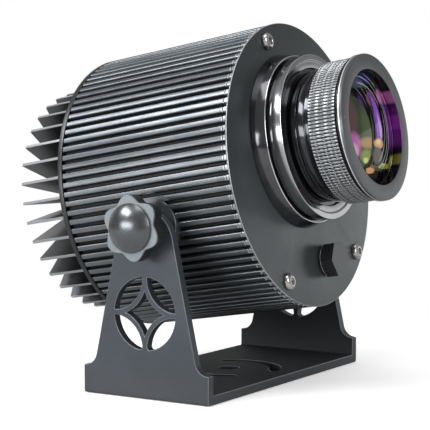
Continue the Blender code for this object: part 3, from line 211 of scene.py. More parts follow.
def turned(profile, segments, closed=False, centre=(0, 0)):
    # turns (z, radius) points, in millimetres, about Z; a third "hex" makes that ring a hexagon
    bm = bmesh.new()
    rings = []
    for z, radius, *form in profile:
        if radius < 1e-6:
            rings.append([bm.verts.new((centre[0] * mm, centre[1] * mm, z * mm))])
            continue
        ring = []
        for i in range(segments):
            angle = turnFull * i / segments
            reach = hexReach(2 * radius, angle) if "hex" in form else radius
            ring.append(bm.verts.new(((centre[0] + reach * math.cos(angle)) * mm,
                                      (centre[1] + reach * math.sin(angle)) * mm, z * mm)))
        rings.append(ring)
    pairs = list(zip(rings, rings[1:]))
    if closed:
        pairs.append((rings[-1], rings[0]))
    for low, high in pairs:
        for i in range(segments):
            j = (i + 1) % segments
            corners = [low[i % len(low)], low[j % len(low)], high[j % len(high)], high[i % len(high)]]
            face = list(dict.fromkeys(corners))
            if len(face) > 2:
                bm.faces.new(face)
    return bm


def turnedRing(profile, radius, segments, centre=(0, 0)):
    return turned(softened(profile, radius, closed=True), segments, True, centre)


def turnedSolid(profile, radius, segments):
    return turned(softened(profile, radius), segments)


def cylinder(low, high, radius, segments, centre=(0, 0)):
    return turned([(low, 0), (low, radius), (high, radius), (high, 0)], segments, centre=centre)


def arc(centre, radius, start, end, count):
    return [(centre[0] + radius * math.cos(start + (end - start) * i / count),
             centre[1] + radius * math.sin(start + (end - start) * i / count)) for i in range(count + 1)]


def circle(radius, count, centre=(0, 0)):
    return arc(centre, radius, 0, turnFull, count)[:-1]


def polarPoint(radius, angle):
    return radius * math.cos(angle), radius * math.sin(angle)


def onCircle(radius, degrees):
    return polarPoint(radius, math.radians(degrees))


def extruded(outer, holes, low, high, bevel=0.0):
    # a flat outline with holes, in millimetres, made solid between two heights
    bm = bmesh.new()
    edges = []
    for outline in [outer, *holes]:
        verts = [bm.verts.new((x * mm, y * mm, low * mm)) for x, y in outline]
        edges += [bm.edges.new((verts[i - 1], verts[i])) for i in range(len(verts))]
    filled = bmesh.ops.triangle_fill(bm, use_beauty=True, use_dissolve=False, edges=edges)
    faces = [face for face in filled["geom"] if isinstance(face, bmesh.types.BMFace)]
    lifted = bmesh.ops.extrude_face_region(bm, geom=faces, use_keep_orig=True)["geom"]
    verts = [item for item in lifted if isinstance(item, bmesh.types.BMVert)]
    bmesh.ops.translate(bm, vec=(0, 0, (high - low) * mm), verts=verts)
    bmesh.ops.recalc_face_normals(bm, faces=bm.faces)
    if bevel:
        rims = [edge for edge in bm.edges if edge.calc_face_angle(0) > bevelAngle
                and abs(edge.verts[0].co.z - edge.verts[1].co.z) < 1e-7]
        bmesh.ops.bevel(bm, geom=rims, offset=bevel * mm, segments=2, profile=0.5, affect="EDGES",
                        clamp_overlap=True)
    return bm


def joinedMesh(*parts):
    whole = bmesh.new()
    for part in parts:
        mesh = bpy.data.meshes.new("part")
        part.to_mesh(mesh)
        part.free()
        whole.from_mesh(mesh)
        bpy.data.meshes.remove(mesh)
    return whole


def moved(bm, matrix):
    bmesh.ops.transform(bm, matrix=matrix, verts=bm.verts)
    return bm


def looseObject(name, bm):
    bmesh.ops.recalc_face_normals(bm, faces=bm.faces)
    mesh = bpy.data.meshes.new(name)
    bm.to_mesh(mesh)
    bm.free()
    obj = bpy.data.objects.new(name, mesh)
    scene.collection.objects.link(obj)
    return obj


def settled(obj):
    # turns the evaluated object into a plain mesh
    depsgraph = bpy.context.evaluated_depsgraph_get()
    mesh = bpy.data.meshes.new_from_object(obj.evaluated_get(depsgraph), depsgraph=depsgraph)
    obj.modifiers.clear()
    old = obj.data
    obj.data = mesh
    bpy.data.meshes.remove(old)
    return obj


def cut(obj, tool, operation="DIFFERENCE"):
    cutter = looseObject(obj.name + "Tool", tool)
    step = obj.modifiers.new("cut", "BOOLEAN")
    step.operation, step.object, step.solver = operation, cutter, "EXACT"
    settled(obj)
    bpy.data.objects.remove(cutter)


def finished(obj, place, surface, body, stands, sharp=16.0):
    # puts a piece in its place with its material, body and the nodes it stands for
    obj.data.transform(place)
    if surface is not None:
        obj.data.materials.clear()
        obj.data.materials.append(surface.material)
    obj.data.shade_smooth()
    obj.data.set_sharp_from_angle(angle=math.radians(sharp))
    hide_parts(*stands)
    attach(obj, body)


def piece(name, bm, place, surface, body, stands, sharp=16.0):
    finished(looseObject(name, bm), place, surface, body, stands, sharp)


def newTree(name, inputs):
    tree = bpy.data.node_groups.new(name, "GeometryNodeTree")
    for label, kind, default in inputs:
        socket = tree.interface.new_socket(label, in_out="INPUT", socket_type=kind)
        if default is not None:
            socket.default_value = default
    tree.interface.new_socket("Geometry", in_out="OUTPUT", socket_type="NodeSocketGeometry")
    return tree, tree.nodes.new("NodeGroupInput").outputs, tree.nodes.new("NodeGroupOutput").inputs[0]


def roundAxisTree():
    # copies the incoming mesh about Z, one for each step, and welds them
    tree, given, result = newTree("copiesRoundAxis", [
        ("Geometry", "NodeSocketGeometry", None), ("Copies", "NodeSocketInt", 12),
        ("Angle Step", "NodeSocketFloat", 0.5), ("Weld Distance", "NodeSocketFloat", 0.000002),
        ("Finish", "NodeSocketMaterial", None)])
    line = addNode(tree, "GeometryNodeMeshLine", {}, {"Count": given["Copies"], "Offset": (0, 0, 0)})
    index = addNode(tree, "GeometryNodeInputIndex")
    turn = addNode(tree, "ShaderNodeMath", {"operation": "MULTIPLY"}, {0: index.outputs[0], 1: given["Angle Step"]})
    spin = addNode(tree, "ShaderNodeCombineXYZ", {}, {"Z": turn.outputs[0]})
    copies = addNode(tree, "GeometryNodeInstanceOnPoints", {},
                     {"Points": line.outputs[0], "Instance": given["Geometry"], "Rotation": spin.outputs[0]})
    real = addNode(tree, "GeometryNodeRealizeInstances", {}, {0: copies.outputs[0]})
    weld = addNode(tree, "GeometryNodeMergeByDistance", {},
                   {0: real.outputs[0], "Distance": given["Weld Distance"]})
    finish = addNode(tree, "GeometryNodeSetMaterial", {}, {0: weld.outputs[0], "Material": given["Finish"]})
    tree.links.new(finish.outputs[0], result)
    return tree


def onPointsTree():
    # sets a fitting on each point of the incoming mesh, turned about its own axis by a seeded amount
    tree, given, result = newTree("fittingsOnPoints", [
        ("Geometry", "NodeSocketGeometry", None), ("Fitting", "NodeSocketObject", None),
        ("Seed", "NodeSocketInt", 3), ("Finish", "NodeSocketMaterial", None)])
    fitting = addNode(tree, "GeometryNodeObjectInfo", {}, {"Object": given["Fitting"]})
    chance = addNode(tree, "FunctionNodeRandomValue", {"data_type": "FLOAT"}, {3: turnFull, "Seed": given["Seed"]})
    spin = addNode(tree, "ShaderNodeCombineXYZ", {}, {"Z": chance.outputs[1]})
    copies = addNode(tree, "GeometryNodeInstanceOnPoints", {}, {
        "Points": given["Geometry"], "Instance": fitting.outputs["Geometry"], "Rotation": spin.outputs[0]})
    real = addNode(tree, "GeometryNodeRealizeInstances", {}, {0: copies.outputs[0]})
    finish = addNode(tree, "GeometryNodeSetMaterial", {}, {0: real.outputs[0], "Material": given["Finish"]})
    tree.links.new(finish.outputs[0], result)
    return tree


def grown(obj, tree, **values):
    # runs a tree on an object and keeps the result as a plain mesh
    labels = {item.name: item.identifier for item in tree.interface.items_tree if item.in_out == "INPUT"}
    modifier = obj.modifiers.new(tree.name, "NODES")
    modifier.node_group = tree
    for label, value in values.items():
        modifier[labels[label.replace("_", " ")]] = value
    return settled(obj)


copiesTree = roundAxisTree()
fittingsTree = onPointsTree()
report("helpers ready")


edgeHighlight = (0.75, 0.76, 0.78)  # painted highlight for thin light lines along turned edges


def highlightRimmed(name, color, pale, rim, roughness, metallic):
    # dark anodising with a painted highlight that fades in between two radii and covers all beyond them
    s = Surface(name, color, roughness, metallic, bodyPlace)
    radius, angle, along = s.polar()
    mottle = s.noise(260.0, 3.0)
    # painted highlight from between the two radii outwards, with a ragged start
    edge = (radius + (mottle - 0.5) * 0.5 * mm).step(rim[0] * mm, rim[1] * mm)
    s.feed(Base_Color=s.mixed(edge, color, s.mixed(mottle, [0.6 * c for c in pale], pale)))
    s.feed(Roughness=roughness - 0.06 + 0.14 * mottle)
    return s.bump(mottle, 0.08, 0.03 * mm)


def plain(name, color, pale, roughness, metallic=0.0, scale=60.0, grain=700.0, strength=0.1, **fixed):
    # moulded plastic, rubber or cast metal with a small grain
    s = Surface(name, color, roughness, metallic, None, **fixed)
    fine = s.noise(grain, 3.0)
    tone = (s.noise(scale, 3.0) * 0.7 + fine * 0.3).step(0.3, 0.7)
    s.feed(Base_Color=s.mixed(tone, color, pale))
    s.feed(Roughness=max(0.02, roughness - 0.05) + 0.1 * s.noise(scale * 3, 2.0))
    return s.bump(fine, strength, 0.03 * mm)


def within(value, low, high, soft):
    # 1 between low and high millimetres, fading to 0 over soft
    return value.step((low - soft) * mm, low * mm) * (1 - value.step(high * mm, (high + soft) * mm))


def glossBarrel(name, color, pale, roughness, metallic, rims=()):
    # gloss anodised turnings with fine circular lines, faint finger marks and painted highlights along chosen edges
    s = Surface(name, color, roughness, metallic, lensPlace)
    radius, angle, along = s.polar()
    lines = s.latheLines(radius, angle, along, 2200, 2)
    smears = s.noise(55.0, 4.0, 0.65)
    base = s.mixed((smears * 0.6 + lines * 0.4).step(0.35, 0.7), color, pale)
    for least, low, high in rims:
        # painted highlight: a thin light line on each listed rim
        rim = radius.step((least - 0.1) * mm, least * mm) * within(along, low, high, 0.1)
        base = s.mixed(rim, base, edgeHighlight)
    s.feed(Base_Color=base)
    s.feed(Roughness=roughness - 0.03 + 0.08 * smears)
    return s.bump(lines, 0.04, 0.02 * mm)


def coatedGlass(name, color, alpha, tint):
    # lens glass seen by its coating: a thin coloured skin that turns with the angle, clear behind
    s = Surface(name, color, 0.02, 0.0, lensPlace, Specular_IOR_Level=0.9, Coat_Weight=1.0, Coat_Roughness=0.02)
    facing = s.node("ShaderNodeLayerWeight", {}, {"Blend": 0.5}, "Facing")
    haze = s.noise(60.0, 2.0)
    s.feed(Base_Color=s.mixed((facing + 0.25 * haze - 0.1).step(0.25, 0.85), color, tint))
    s.feed(Alpha=alpha + 0.25 * facing)
    return s


steelFinish = plain("stainless", (0.5, 0.5, 0.49), (0.66, 0.65, 0.63), 0.22, 1.0, 300.0)
blackFinish = plain("blackNylon", (0.016, 0.016, 0.017), (0.035, 0.035, 0.037), 0.4)
rubberFinish = plain("blackRubber", (0.014, 0.014, 0.014), (0.03, 0.03, 0.03), 0.75)
brassFinish = plain("turnedBrass", (0.5, 0.34, 0.12), (0.66, 0.48, 0.2), 0.26, 1.0, 200.0)
aluminiumFinish = plain("machinedAluminium", (0.5, 0.51, 0.53), (0.64, 0.65, 0.67), 0.32, 1.0, 140.0)
boardFinish = plain("whiteBoard", (0.7, 0.7, 0.68), (0.8, 0.8, 0.78), 0.4)
emitterFinish = plain("phosphor", (0.75, 0.55, 0.08), (0.85, 0.68, 0.16), 0.2, 0.0, 200.0, Coat_Weight=0.8)
report("shared finishes ready")


# the ribbed housing, in mm along and out from its own axis; clear is a radius beyond every rib
housing = {"front": 50.0, "rear": -55.0, "ribs": 96, "tip": 79.5, "root": 76.9, "bore": 72.5,
           "tipWidth": 2.8, "footWidth": 3.5, "padBack": 60.0, "padFace": 77.9, "padRadius": 15.0,
           "spotRadius": 18.0, "glandAngle": 45.0, "glandAlong": -38.0, "glandSpot": 13.6, "glandSeat": 77.5,
           "clear": 90.0, "endSoft": 0.4, "endPull": 0.995}


def ribbedHousing():
    # brushed ribs: pale tops with a painted highlight along their cut ends, and painted shade, near black, on the
    # floors between them
    s = Surface("ribbedHousing", (0.2, 0.21, 0.22), 0.34, 0.9, bodyPlace)
    h = housing
    radius, angle, along = s.polar()
    lines = s.noise(1.0, 4.0, 0.6, s.stretched((1400, 1400, 16)))
    clouds = s.noise(26.0, 3.0)
    top = radius.step((h["tip"] - 2) * mm, (h["tip"] - 0.3) * mm)
    floor = 1 - radius.step((h["root"] - 0.3) * mm, (h["root"] + 0.7) * mm)
    tone = (lines * 0.55 + clouds * 0.45).step(0.3, 0.7)
    body = s.mixed(tone, (0.06, 0.065, 0.072), (0.1, 0.107, 0.115))
    pale = s.mixed(tone, (0.13, 0.143, 0.155), (0.205, 0.223, 0.24))
    body = s.mixed(top * 0.9, body, pale)
    # painted highlight along the rib tops at their cut ends
    ends = along.step((h["front"] - 0.5) * mm, (h["front"] - 0.3) * mm)
    ends = ends + (1 - along.step((h["rear"] + 0.2) * mm, (h["rear"] + 0.4) * mm))
    body = s.mixed(ends * top, body, (0.5, 0.515, 0.53))
    # painted shade: the floors between the ribs go near black
    s.feed(Base_Color=s.mixed(floor * 0.9, body, (0.006, 0.006, 0.007)))
    s.feed(Roughness=0.3 + 0.2 * floor + 0.1 * s.noise(190.0, 2.0))
    return s.bump(lines, 0.1, 0.04 * mm)


def sideTurn(direction):
    return Matrix.Translation((0, -bodyRise, 0)) @ Matrix.Rotation(direction * math.pi / 2, 4, "Y")


def glandTurn():
    outwards = Matrix.Rotation(math.radians(housing["glandAngle"]), 4, "Z") @ Matrix.Rotation(math.pi / 2, 4, "Y")
    return Matrix.Translation((0, 0, housing["glandAlong"] * mm)) @ outwards


def onArc(radius, across):
    return polarPoint(radius, across / radius)


def copiedSector(name, rows, wall, copies, finish):
    # one sector, open at its cut sides, copied round the axis and welded into a closed ring
    bm = bmesh.new()
    rows = [[bm.verts.new(point) for point in row] for row in rows]
    wall = [[bm.verts.new(point) for point in row] for row in wall]
    for low, high in zip(rows, rows[1:]):
        for i in range(len(low) - 1):
            bm.faces.new((low[i], low[i + 1], high[i + 1], high[i]))
    bm.faces.new((wall[0][1], wall[0][0], wall[1][0], wall[1][1]))
    bm.faces.new([*reversed(rows[0]), *wall[0]])
    bm.faces.new([*rows[-1], *reversed(wall[1])])
    sector = looseObject(name, bm)
    return grown(sector, copiesTree, Copies=copies, Angle_Step=turnFull / copies, Finish=finish.material)


def ribbedTube(name, rear, front, bore, tipSoft, finish):
    h = housing
    half = turnFull / h["ribs"] / 2
    footSoft, soft = 0.4, 0.35
    outer = [onArc(h["root"], -half * h["root"]), (*onArc(h["root"], -h["footWidth"] / 2), footSoft),
             (*onArc(h["tip"], -h["tipWidth"] / 2), tipSoft), (*onArc(h["tip"], h["tipWidth"] / 2), tipSoft),
             (*onArc(h["root"], h["footWidth"] / 2), footSoft), onArc(h["root"], half * h["root"])]
    outer = softened(outer, soft, steps=4)
    inner = [onArc(bore, -half * bore), onArc(bore, half * bore)]
    levels = ((rear, h["endPull"]), (rear + h["endSoft"], 1.0), (front - h["endSoft"], 1.0), (front, h["endPull"]))
    rows = [[(x * pull * mm, y * pull * mm, z * mm) for x, y in outer] for z, pull in levels]
    wall = [[(x * mm, y * mm, z * mm) for x, y in inner] for z in (rear, front)]
    return copiedSector(name, rows, wall, h["ribs"], finish)


housingFinish = ribbedHousing()


def makeHousing():
    h = housing
    tube = ribbedTube("ribbed_housing", h["rear"], h["front"], h["bore"], 0.7, housingFinish)
    cut(tube, moved(cylinder(h["glandSeat"], h["clear"], h["glandSpot"], 48), glandTurn()))
    pad = [(h["padBack"], 0), (h["padBack"], h["padRadius"]), (h["padFace"], h["padRadius"]), (h["padFace"], 0)]
    for direction in (-1, 1):
        cut(tube, moved(turnedSolid(pad, 0.5, 64), sideTurn(direction)), "UNION")
        cut(tube, moved(cylinder(h["padFace"], h["clear"], h["spotRadius"], 64), sideTurn(direction)))
    finished(tube, bodyPlace, housingFinish, "head", ["housing"])


makeHousing()
report("housing done")


# the front plate; its holes are cut from cutBack to cutFront
plate = {"radius": 79.7, "lip": 0.45, "neck": 77.2, "back": 50.3, "face": 53.0, "spigot": 64.7, "spigotBack": 45.8,
         "chamfer": 0.25, "toothGap": 0.1, "toothWall": 1.0, "lensHole": 36.3, "lensAt": (-5.5, 13.0),
         "plugHole": 6.3, "screwHole": 2.4, "screwAngles": (25, 109, 241, 313), "cutBack": 40, "cutFront": 60}
gasket = {"inner": 75.1, "outer": 76.6, "thick": 0.7}
# the vent plug: shank, round collar, hexagon and the seal's profile
plug = {"at": (10.0, -55.0), "back": 46.0, "shank": 6.0, "seat": 54.5, "collar": 1.6, "collarRadius": 8.8,
        "flats": 18.5, "top": 63.1, "seal": [(53.3, 6.3), (53.3, 8.4), (54.2, 8.4), (54.2, 6.3)]}
# button head screws: head radius and height, shank radius and length, socket, then where they sit
frontScrew = {"head": 4.7, "height": 2.8, "shank": 2.1, "reach": 12.0, "socket": 1.9, "depth": 1.8,
              "circle": 72.0, "seat": 53.3, "facing": 1, "seed": 5}
rearScrew = {"head": 3.2, "height": 2.4, "shank": 1.6, "reach": 13.0, "socket": 1.3, "depth": 1.4,
             "circle": 70.5, "seat": -58.6, "facing": -1, "seed": 9}


def turnedFace(name, color, pale, rim, roughness, metallic):
    # a lathe-faced disc: fine circular lines, painted shade at its upper near side, and a painted highlight on the
    # rim between two radii
    s = Surface(name, color, roughness, metallic, bodyPlace)
    radius, angle, along = s.polar()
    lines = s.latheLines(radius, angle, along, 2600, 1.5)
    tone = (lines * 0.35 + s.noise(24.0, 3.0) * 0.65).step(0.3, 0.7)
    x, y, z = s.axes()
    # painted shade, darkest towards the upper near side
    shade = (y * 0.9 - x * 0.5).step(5 * mm, 75 * mm) * 0.62
    base = s.mixed(shade, s.mixed(tone, color, pale), (0.03, 0.034, 0.036))
    low, high = rim
    # painted highlight on the rim between low and high
    rimHighlight = radius.step(low * mm, (low + 0.15) * mm) * (1 - radius.step((high - 0.15) * mm, high * mm))
    s.feed(Base_Color=s.mixed(rimHighlight, base, (0.5, 0.51, 0.53)))
    s.feed(Roughness=roughness - 0.05 + 0.1 * s.noise(120.0, 3.0))
    return s.bump(lines, 0.1, 0.03 * mm)


def twoTonePlug():
    # black sides, a plate-coloured top face and a painted highlight round the collar's edge
    s = Surface("twoTonePlug", (0.02, 0.02, 0.022), 0.42, 0.0, bodyPlace)
    g = plug
    x, y, along = s.axes()
    face = along.step((g["top"] - 0.1) * mm, (g["top"] - 0.05) * mm)
    grain = s.noise(420.0, 3.0)
    dark = s.mixed(grain, (0.014, 0.014, 0.016), (0.03, 0.03, 0.033))
    base = s.mixed(face, dark, s.mixed(grain, (0.1, 0.11, 0.112), (0.135, 0.145, 0.15)))
    x, y = x - g["at"][0] * mm, y - g["at"][1] * mm
    # painted highlight: a light line round the collar's edge
    beyond = (x * x + y * y).step(((g["collarRadius"] - 0.25) * mm) ** 2, ((g["collarRadius"] - 0.15) * mm) ** 2)
    collar = beyond * within(along, g["seat"] - 0.1, g["seat"] + 0.4, 0.1)
    s.feed(Base_Color=s.mixed(collar, base, (0.7, 0.71, 0.73)))
    s.feed(Roughness=0.2 + 0.16 * grain + 0.14 * face)
    return s.bump(grain, 0.1, 0.03 * mm)


plateFinish = turnedFace("satinPlate", (0.1, 0.115, 0.12), (0.135, 0.152, 0.158),
                         (plate["radius"] - 0.4, plate["radius"] + 0.8), 0.34, 0.6)
# painted highlight on the tips of the plate's teeth
toothFinish = highlightRimmed("ribTeeth", (0.02, 0.022, 0.024), (0.42, 0.435, 0.45), (77.3, 77.9), 0.3, 0.7)
plugFinish = twoTonePlug()


def makeGasket(name, low, node):
    g = gasket
    high = low + g["thick"]
    profile = [(low, g["inner"]), (low, g["outer"]), (high, g["outer"]), (high, g["inner"])]
    piece(name, turned(profile, 120, closed=True), bodyPlace, rubberFinish, "head", [node])


def makePlate():
    p = plate
    lipBack = p["face"] - p["lip"]
    profile = [(p["spigotBack"], 0), (p["spigotBack"], p["spigot"]), (p["back"], p["spigot"]),
               (p["back"], p["neck"]), (lipBack, p["neck"]), (lipBack, p["radius"]),
               (p["face"] - p["chamfer"], p["radius"]), (p["face"], p["radius"] - p["chamfer"]), (p["face"], 0)]
    disc = looseObject("front_plate_turned", turned(softened(profile, 0.15, steps=2), 240))
    holes = [(p["lensHole"], 128, p["lensAt"]), (p["plugHole"], 32, plug["at"])]
    holes += [(p["screwHole"], 24, onCircle(frontScrew["circle"], angle)) for angle in p["screwAngles"]]
    cut(disc, joinedMesh(*[cylinder(p["cutBack"], p["cutFront"], *hole) for hole in holes]))
    finished(disc, bodyPlace, plateFinish, "head", ["front_plate"], 12)
    rim = ribbedTube("front_plate_teeth", p["back"], lipBack - p["toothGap"], p["neck"] - p["toothWall"], 0.5,
                     toothFinish)
    finished(rim, bodyPlace, toothFinish, "head", [])
    makeGasket("front_gasket", p["back"], "front_seal")


def screwMesh(w):
    # a rounded crown with a hexagon socket, and a chamfered shank; the seat is at z = 0
    head, height, shank, reach, socket = (w[key] for key in ("head", "height", "shank", "reach", "socket"))
    crown = [(height * (0.22 + 0.78 * math.sin(a)), head * (0.52 + 0.48 * math.cos(a)))
             for a in [math.pi / 2 * i / 6 for i in range(7)]]
    profile = [(-reach, 0), (-reach, shank - 0.5), (-reach + 0.5, shank), (0, shank), (0, head - 0.15),
               (0.15, head), *crown, (height, socket + 0.25), (height - 0.2, socket, "hex"),
               (height - w["depth"], socket, "hex"), (height - w["depth"], 0)]
    return turned(profile, 48)


def makeScrews(where, w):
    fitting = looseObject(where + "_screw_pattern", screwMesh(w))
    if w["facing"] < 0:
        fitting.data.transform(Matrix.Rotation(math.pi, 4, "X"))
        fitting.data.update()
    spots = bpy.data.meshes.new(where + "_screws")
    corners = [onCircle(w["circle"], angle) for angle in plate["screwAngles"]]
    spots.from_pydata([(x * mm, y * mm, w["seat"] * mm) for x, y in corners], [], [])
    screws = bpy.data.objects.new(where + "_screws", spots)
    scene.collection.objects.link(screws)
    grown(screws, fittingsTree, Fitting=fitting, Seed=w["seed"], Finish=steelFinish.material)
    bpy.data.objects.remove(fitting)
    stands = [f"{where}_screw_{i}" for i in range(1, 5)]
    finished(screws, bodyPlace, steelFinish, "head", stands)


def makePlug():
    g = plug
    x, y = g["at"]
    top = g["seat"] + g["collar"]
    base = turnedSolid([(g["back"], 0), (g["back"], g["shank"]), (g["seat"], g["shank"]),
                        (g["seat"], g["collarRadius"]), (top, g["collarRadius"]), (top, 0)], 0.3, 96)
    corners = [polarPoint(g["flats"] / 2 / math.cos(math.pi / 6), math.pi / 3 * i) for i in range(6)]
    nut = extruded(softened(corners, 0.5, closed=True), [], top, g["top"], 0.25)
    whole = moved(joinedMesh(base, nut), Matrix.Translation((x * mm, y * mm, 0)))
    piece("vent_plug_hex", whole, bodyPlace, plugFinish, "head", ["vent_plug"])
    seal = turnedRing(g["seal"], 0.35, 64, g["at"])
    piece("vent_plug_washer", seal, bodyPlace, rubberFinish, "head", ["vent_plug_seal"])


makePlate()
makeScrews("front", frontScrew)
makePlug()
report("front plate done")


# the heatsink: a disc that closes the housing, with its spigot, a hub and radial fins behind
sink = {"fins": 36, "finRadius": 66.2, "hub": 15.0, "thick": 1.6, "rear": -96.0, "back": -58.3, "seat": -55.3,
        "discRadius": 79.5, "spigot": 64.7, "spigotFront": -50.0, "overlap": 1.0, "cornerSoft": 1.2}


def blackFins():
    # black anodised sheet, with painted light making it grey towards the open outer corner, painted shade keeping
    # it black nearer the disc and hub, and painted highlights on the edges
    s = Surface("blackFins", (0.02, 0.02, 0.023), 0.38, 0.5, bodyPlace)
    radius, angle, along = s.polar()
    clouds = s.noise(45.0, 4.0, 0.6)
    lines = s.noise(1.0, 3.0, 0.6, s.joined(radius * 60, angle * 3, along * 1500))
    # painted light: grey on the outer rear corner of each fin, with painted shade leaving the rest black
    outer = (radius + (clouds - 0.5) * 6 * mm).step(34 * mm, 58 * mm)
    rear = 1 - (along + (clouds - 0.5) * 3 * mm).step(-88 * mm, -78 * mm)
    # painted highlight on the fins' outer and rear edges
    edge = radius.step((sink["finRadius"] - 0.7) * mm, (sink["finRadius"] - 0.2) * mm)
    edge = edge + (1 - along.step((sink["rear"] + 0.1) * mm, (sink["rear"] + 0.6) * mm))
    base = s.mixed(outer * rear, s.mixed(lines, (0.004, 0.004, 0.005), (0.011, 0.011, 0.013)),
                   s.mixed(clouds, (0.06, 0.064, 0.07), (0.12, 0.125, 0.13)))
    s.feed(Base_Color=s.mixed(edge.maths("MINIMUM", 1.0) * 0.8, base, (0.42, 0.43, 0.45)))
    s.feed(Roughness=0.32 + 0.16 * clouds)
    return s.bump(lines, 0.08, 0.03 * mm)


# painted highlight on the heatsink disc's rim
discFinish = highlightRimmed("sinkDisc", (0.02, 0.021, 0.024), (0.07, 0.073, 0.078),
                    (sink["discRadius"] - 0.9, sink["discRadius"] - 0.5), 0.34, 0.8)
finFinish = blackFins()


def makeHeatsink():
    s = sink
    disc = turnedSolid([(s["back"], 0), (s["back"], s["discRadius"]), (s["seat"], s["discRadius"]),
                        (s["seat"], s["spigot"]), (s["spigotFront"], s["spigot"]), (s["spigotFront"], 0)], 0.5, 240)
    rear, root = s["rear"], s["back"] + s["overlap"]
    hub = turnedSolid([(rear, 0), (rear, s["hub"]), (root, s["hub"]), (root, 0)], 0.6, 96)
    piece("heatsink_base", joinedMesh(disc, hub), bodyPlace, discFinish, "head", ["heatsink"])
    inside, half = s["hub"] - 2 * s["overlap"], s["thick"] / 2
    outline = [(inside, root), (inside, rear), (s["finRadius"], rear, s["cornerSoft"]), (s["finRadius"], root)]
    fin = extruded(softened(outline, 0, closed=True), [], -half, half, 0.25)
    fins = looseObject("heatsink_fins", moved(fin, Matrix.Rotation(math.pi / 2, 4, "X")))
    grown(fins, copiesTree, Copies=s["fins"], Angle_Step=turnFull / s["fins"], Finish=finFinish.material)
    finished(fins, bodyPlace, finFinish, "head", [])


makeHeatsink()
makeScrews("rear", rearScrew)
makeGasket("rear_gasket", sink["seat"] - gasket["thick"], "rear_seal")
report("heatsink done")


# the knurled grip, in mm along and out from the lens axis; grooveHalf is in pitches
grip = {"radius": 39.0, "ribs": 128, "depth": 0.65, "lead": 5.0, "back": 82.5, "front": 98.5, "land": 0.4,
        "endDrop": 0.35, "bore": 37.0, "across": 8, "levels": 44, "crossDepth": 0.5,
        "grooveHalf": 0.2}
# the glasses: front one's steps and dome, the dark sheet behind it, and the fixed ones as (back, sag behind, sag in
# front)
glass = {"back": 91.9, "flange": 32.8, "shoulder": 95.0, "step": 31.1, "edge": 96.9, "dome": (97.0, 31.0, 2.9, 16),
         "darkSheet": [(91.3, 0), (91.3, 32.9), (91.7, 32.9), (91.7, 31.5), (91.45, 0)],
         "middle": (61.9, 0, 4.0), "rear": (38.7, 4.0, 0)}
dot = {"radius": 0.55, "circle": 36.6, "angle": 172, "face": 103.0, "deep": 0.1}
bezel = {"outer": 39.9, "hole": 31.4, "front": 103.0}


def knurl():
    # bright tips on the flat of each tooth, and black grooves
    s = Surface("knurl", (0.2, 0.21, 0.22), 0.3, 0.9, lensPlace)
    radius, angle, along = s.polar()
    tip = radius.step((grip["radius"] - 0.4) * mm, (grip["radius"] - 0.05) * mm)
    grit = s.noise(900.0, 3.0)
    base = s.mixed(tip, (0.01, 0.011, 0.012), s.mixed(grit, (0.26, 0.27, 0.285), (0.46, 0.475, 0.49)))
    s.feed(Base_Color=base)
    s.feed(Roughness=0.26 + 0.2 * grit)
    return s.bump(grit, 0.15, 0.04 * mm)


def wallReflection(s, angle):
    # painted reflection of the purple and magenta of the front coating in the polished wall round it
    def lobe(turn, spread):
        away = (angle - math.radians(turn)) / math.radians(spread)
        return 1 - (away * away).step(0.2, 1.0)

    wall = s.mixed(lobe(2, 26), (0.008, 0.007, 0.01), (0.16, 0.02, 0.24))
    wall = s.mixed(lobe(6, 9), wall, (0.36, 0.05, 0.42))
    wall = s.mixed(lobe(33, 9), wall, (0.62, 0.2, 0.5))
    return s.mixed(lobe(-34, 8), wall, (0.2, 0.2, 0.03))


def bezelFaced():
    # satin front face, a painted highlight on its thin outer edge, black side and polished wall round the glass
    # with painted reflections
    s = Surface("satinBezel", (0.12, 0.126, 0.134), 0.36, 0.6, lensPlace)
    e = bezel
    radius, angle, along = s.polar()
    lines = s.latheLines(radius, angle, along, 2600, 1.5)
    clouds = s.noise(24.0, 3.0)
    face = s.mixed((lines * 0.35 + clouds * 0.65).step(0.3, 0.7), (0.105, 0.11, 0.118), (0.15, 0.157, 0.166))
    back = 1 - along.step((e["front"] - 2.3) * mm, (e["front"] - 2.15) * mm)
    outside = radius.step(36.0 * mm, 37.0 * mm)
    wall = 1 - radius.step((e["hole"] + 0.05) * mm, (e["hole"] + 0.2) * mm)
    # painted highlight on the thin outer edge
    rim = radius.step((e["outer"] - 0.5) * mm, (e["outer"] - 0.3) * mm)
    rim = rim * within(along, e["front"] - 2.1, e["front"] - 1.6, 0.1)
    base = s.mixed(rim, face, edgeHighlight)
    base = s.mixed(back * outside, base, (0.012, 0.012, 0.014))
    # painted reflection of the coating in the wall round the glass
    s.feed(Base_Color=s.mixed(wall, base, wallReflection(s, angle)))
    s.feed(Roughness=0.3 + 0.1 * clouds - 0.14 * wall)
    return s.bump(lines, 0.1, 0.03 * mm)


def polishedWall():
    # the retaining ring, black and polished, with painted reflections of the coating's colours
    s = Surface("polishedWall", (0.01, 0.01, 0.012), 0.16, 0.3, lensPlace)
    radius, angle, along = s.polar()
    haze = s.noise(80.0, 3.0)
    s.feed(Base_Color=wallReflection(s, angle), Roughness=0.12 + 0.1 * haze)
    return s
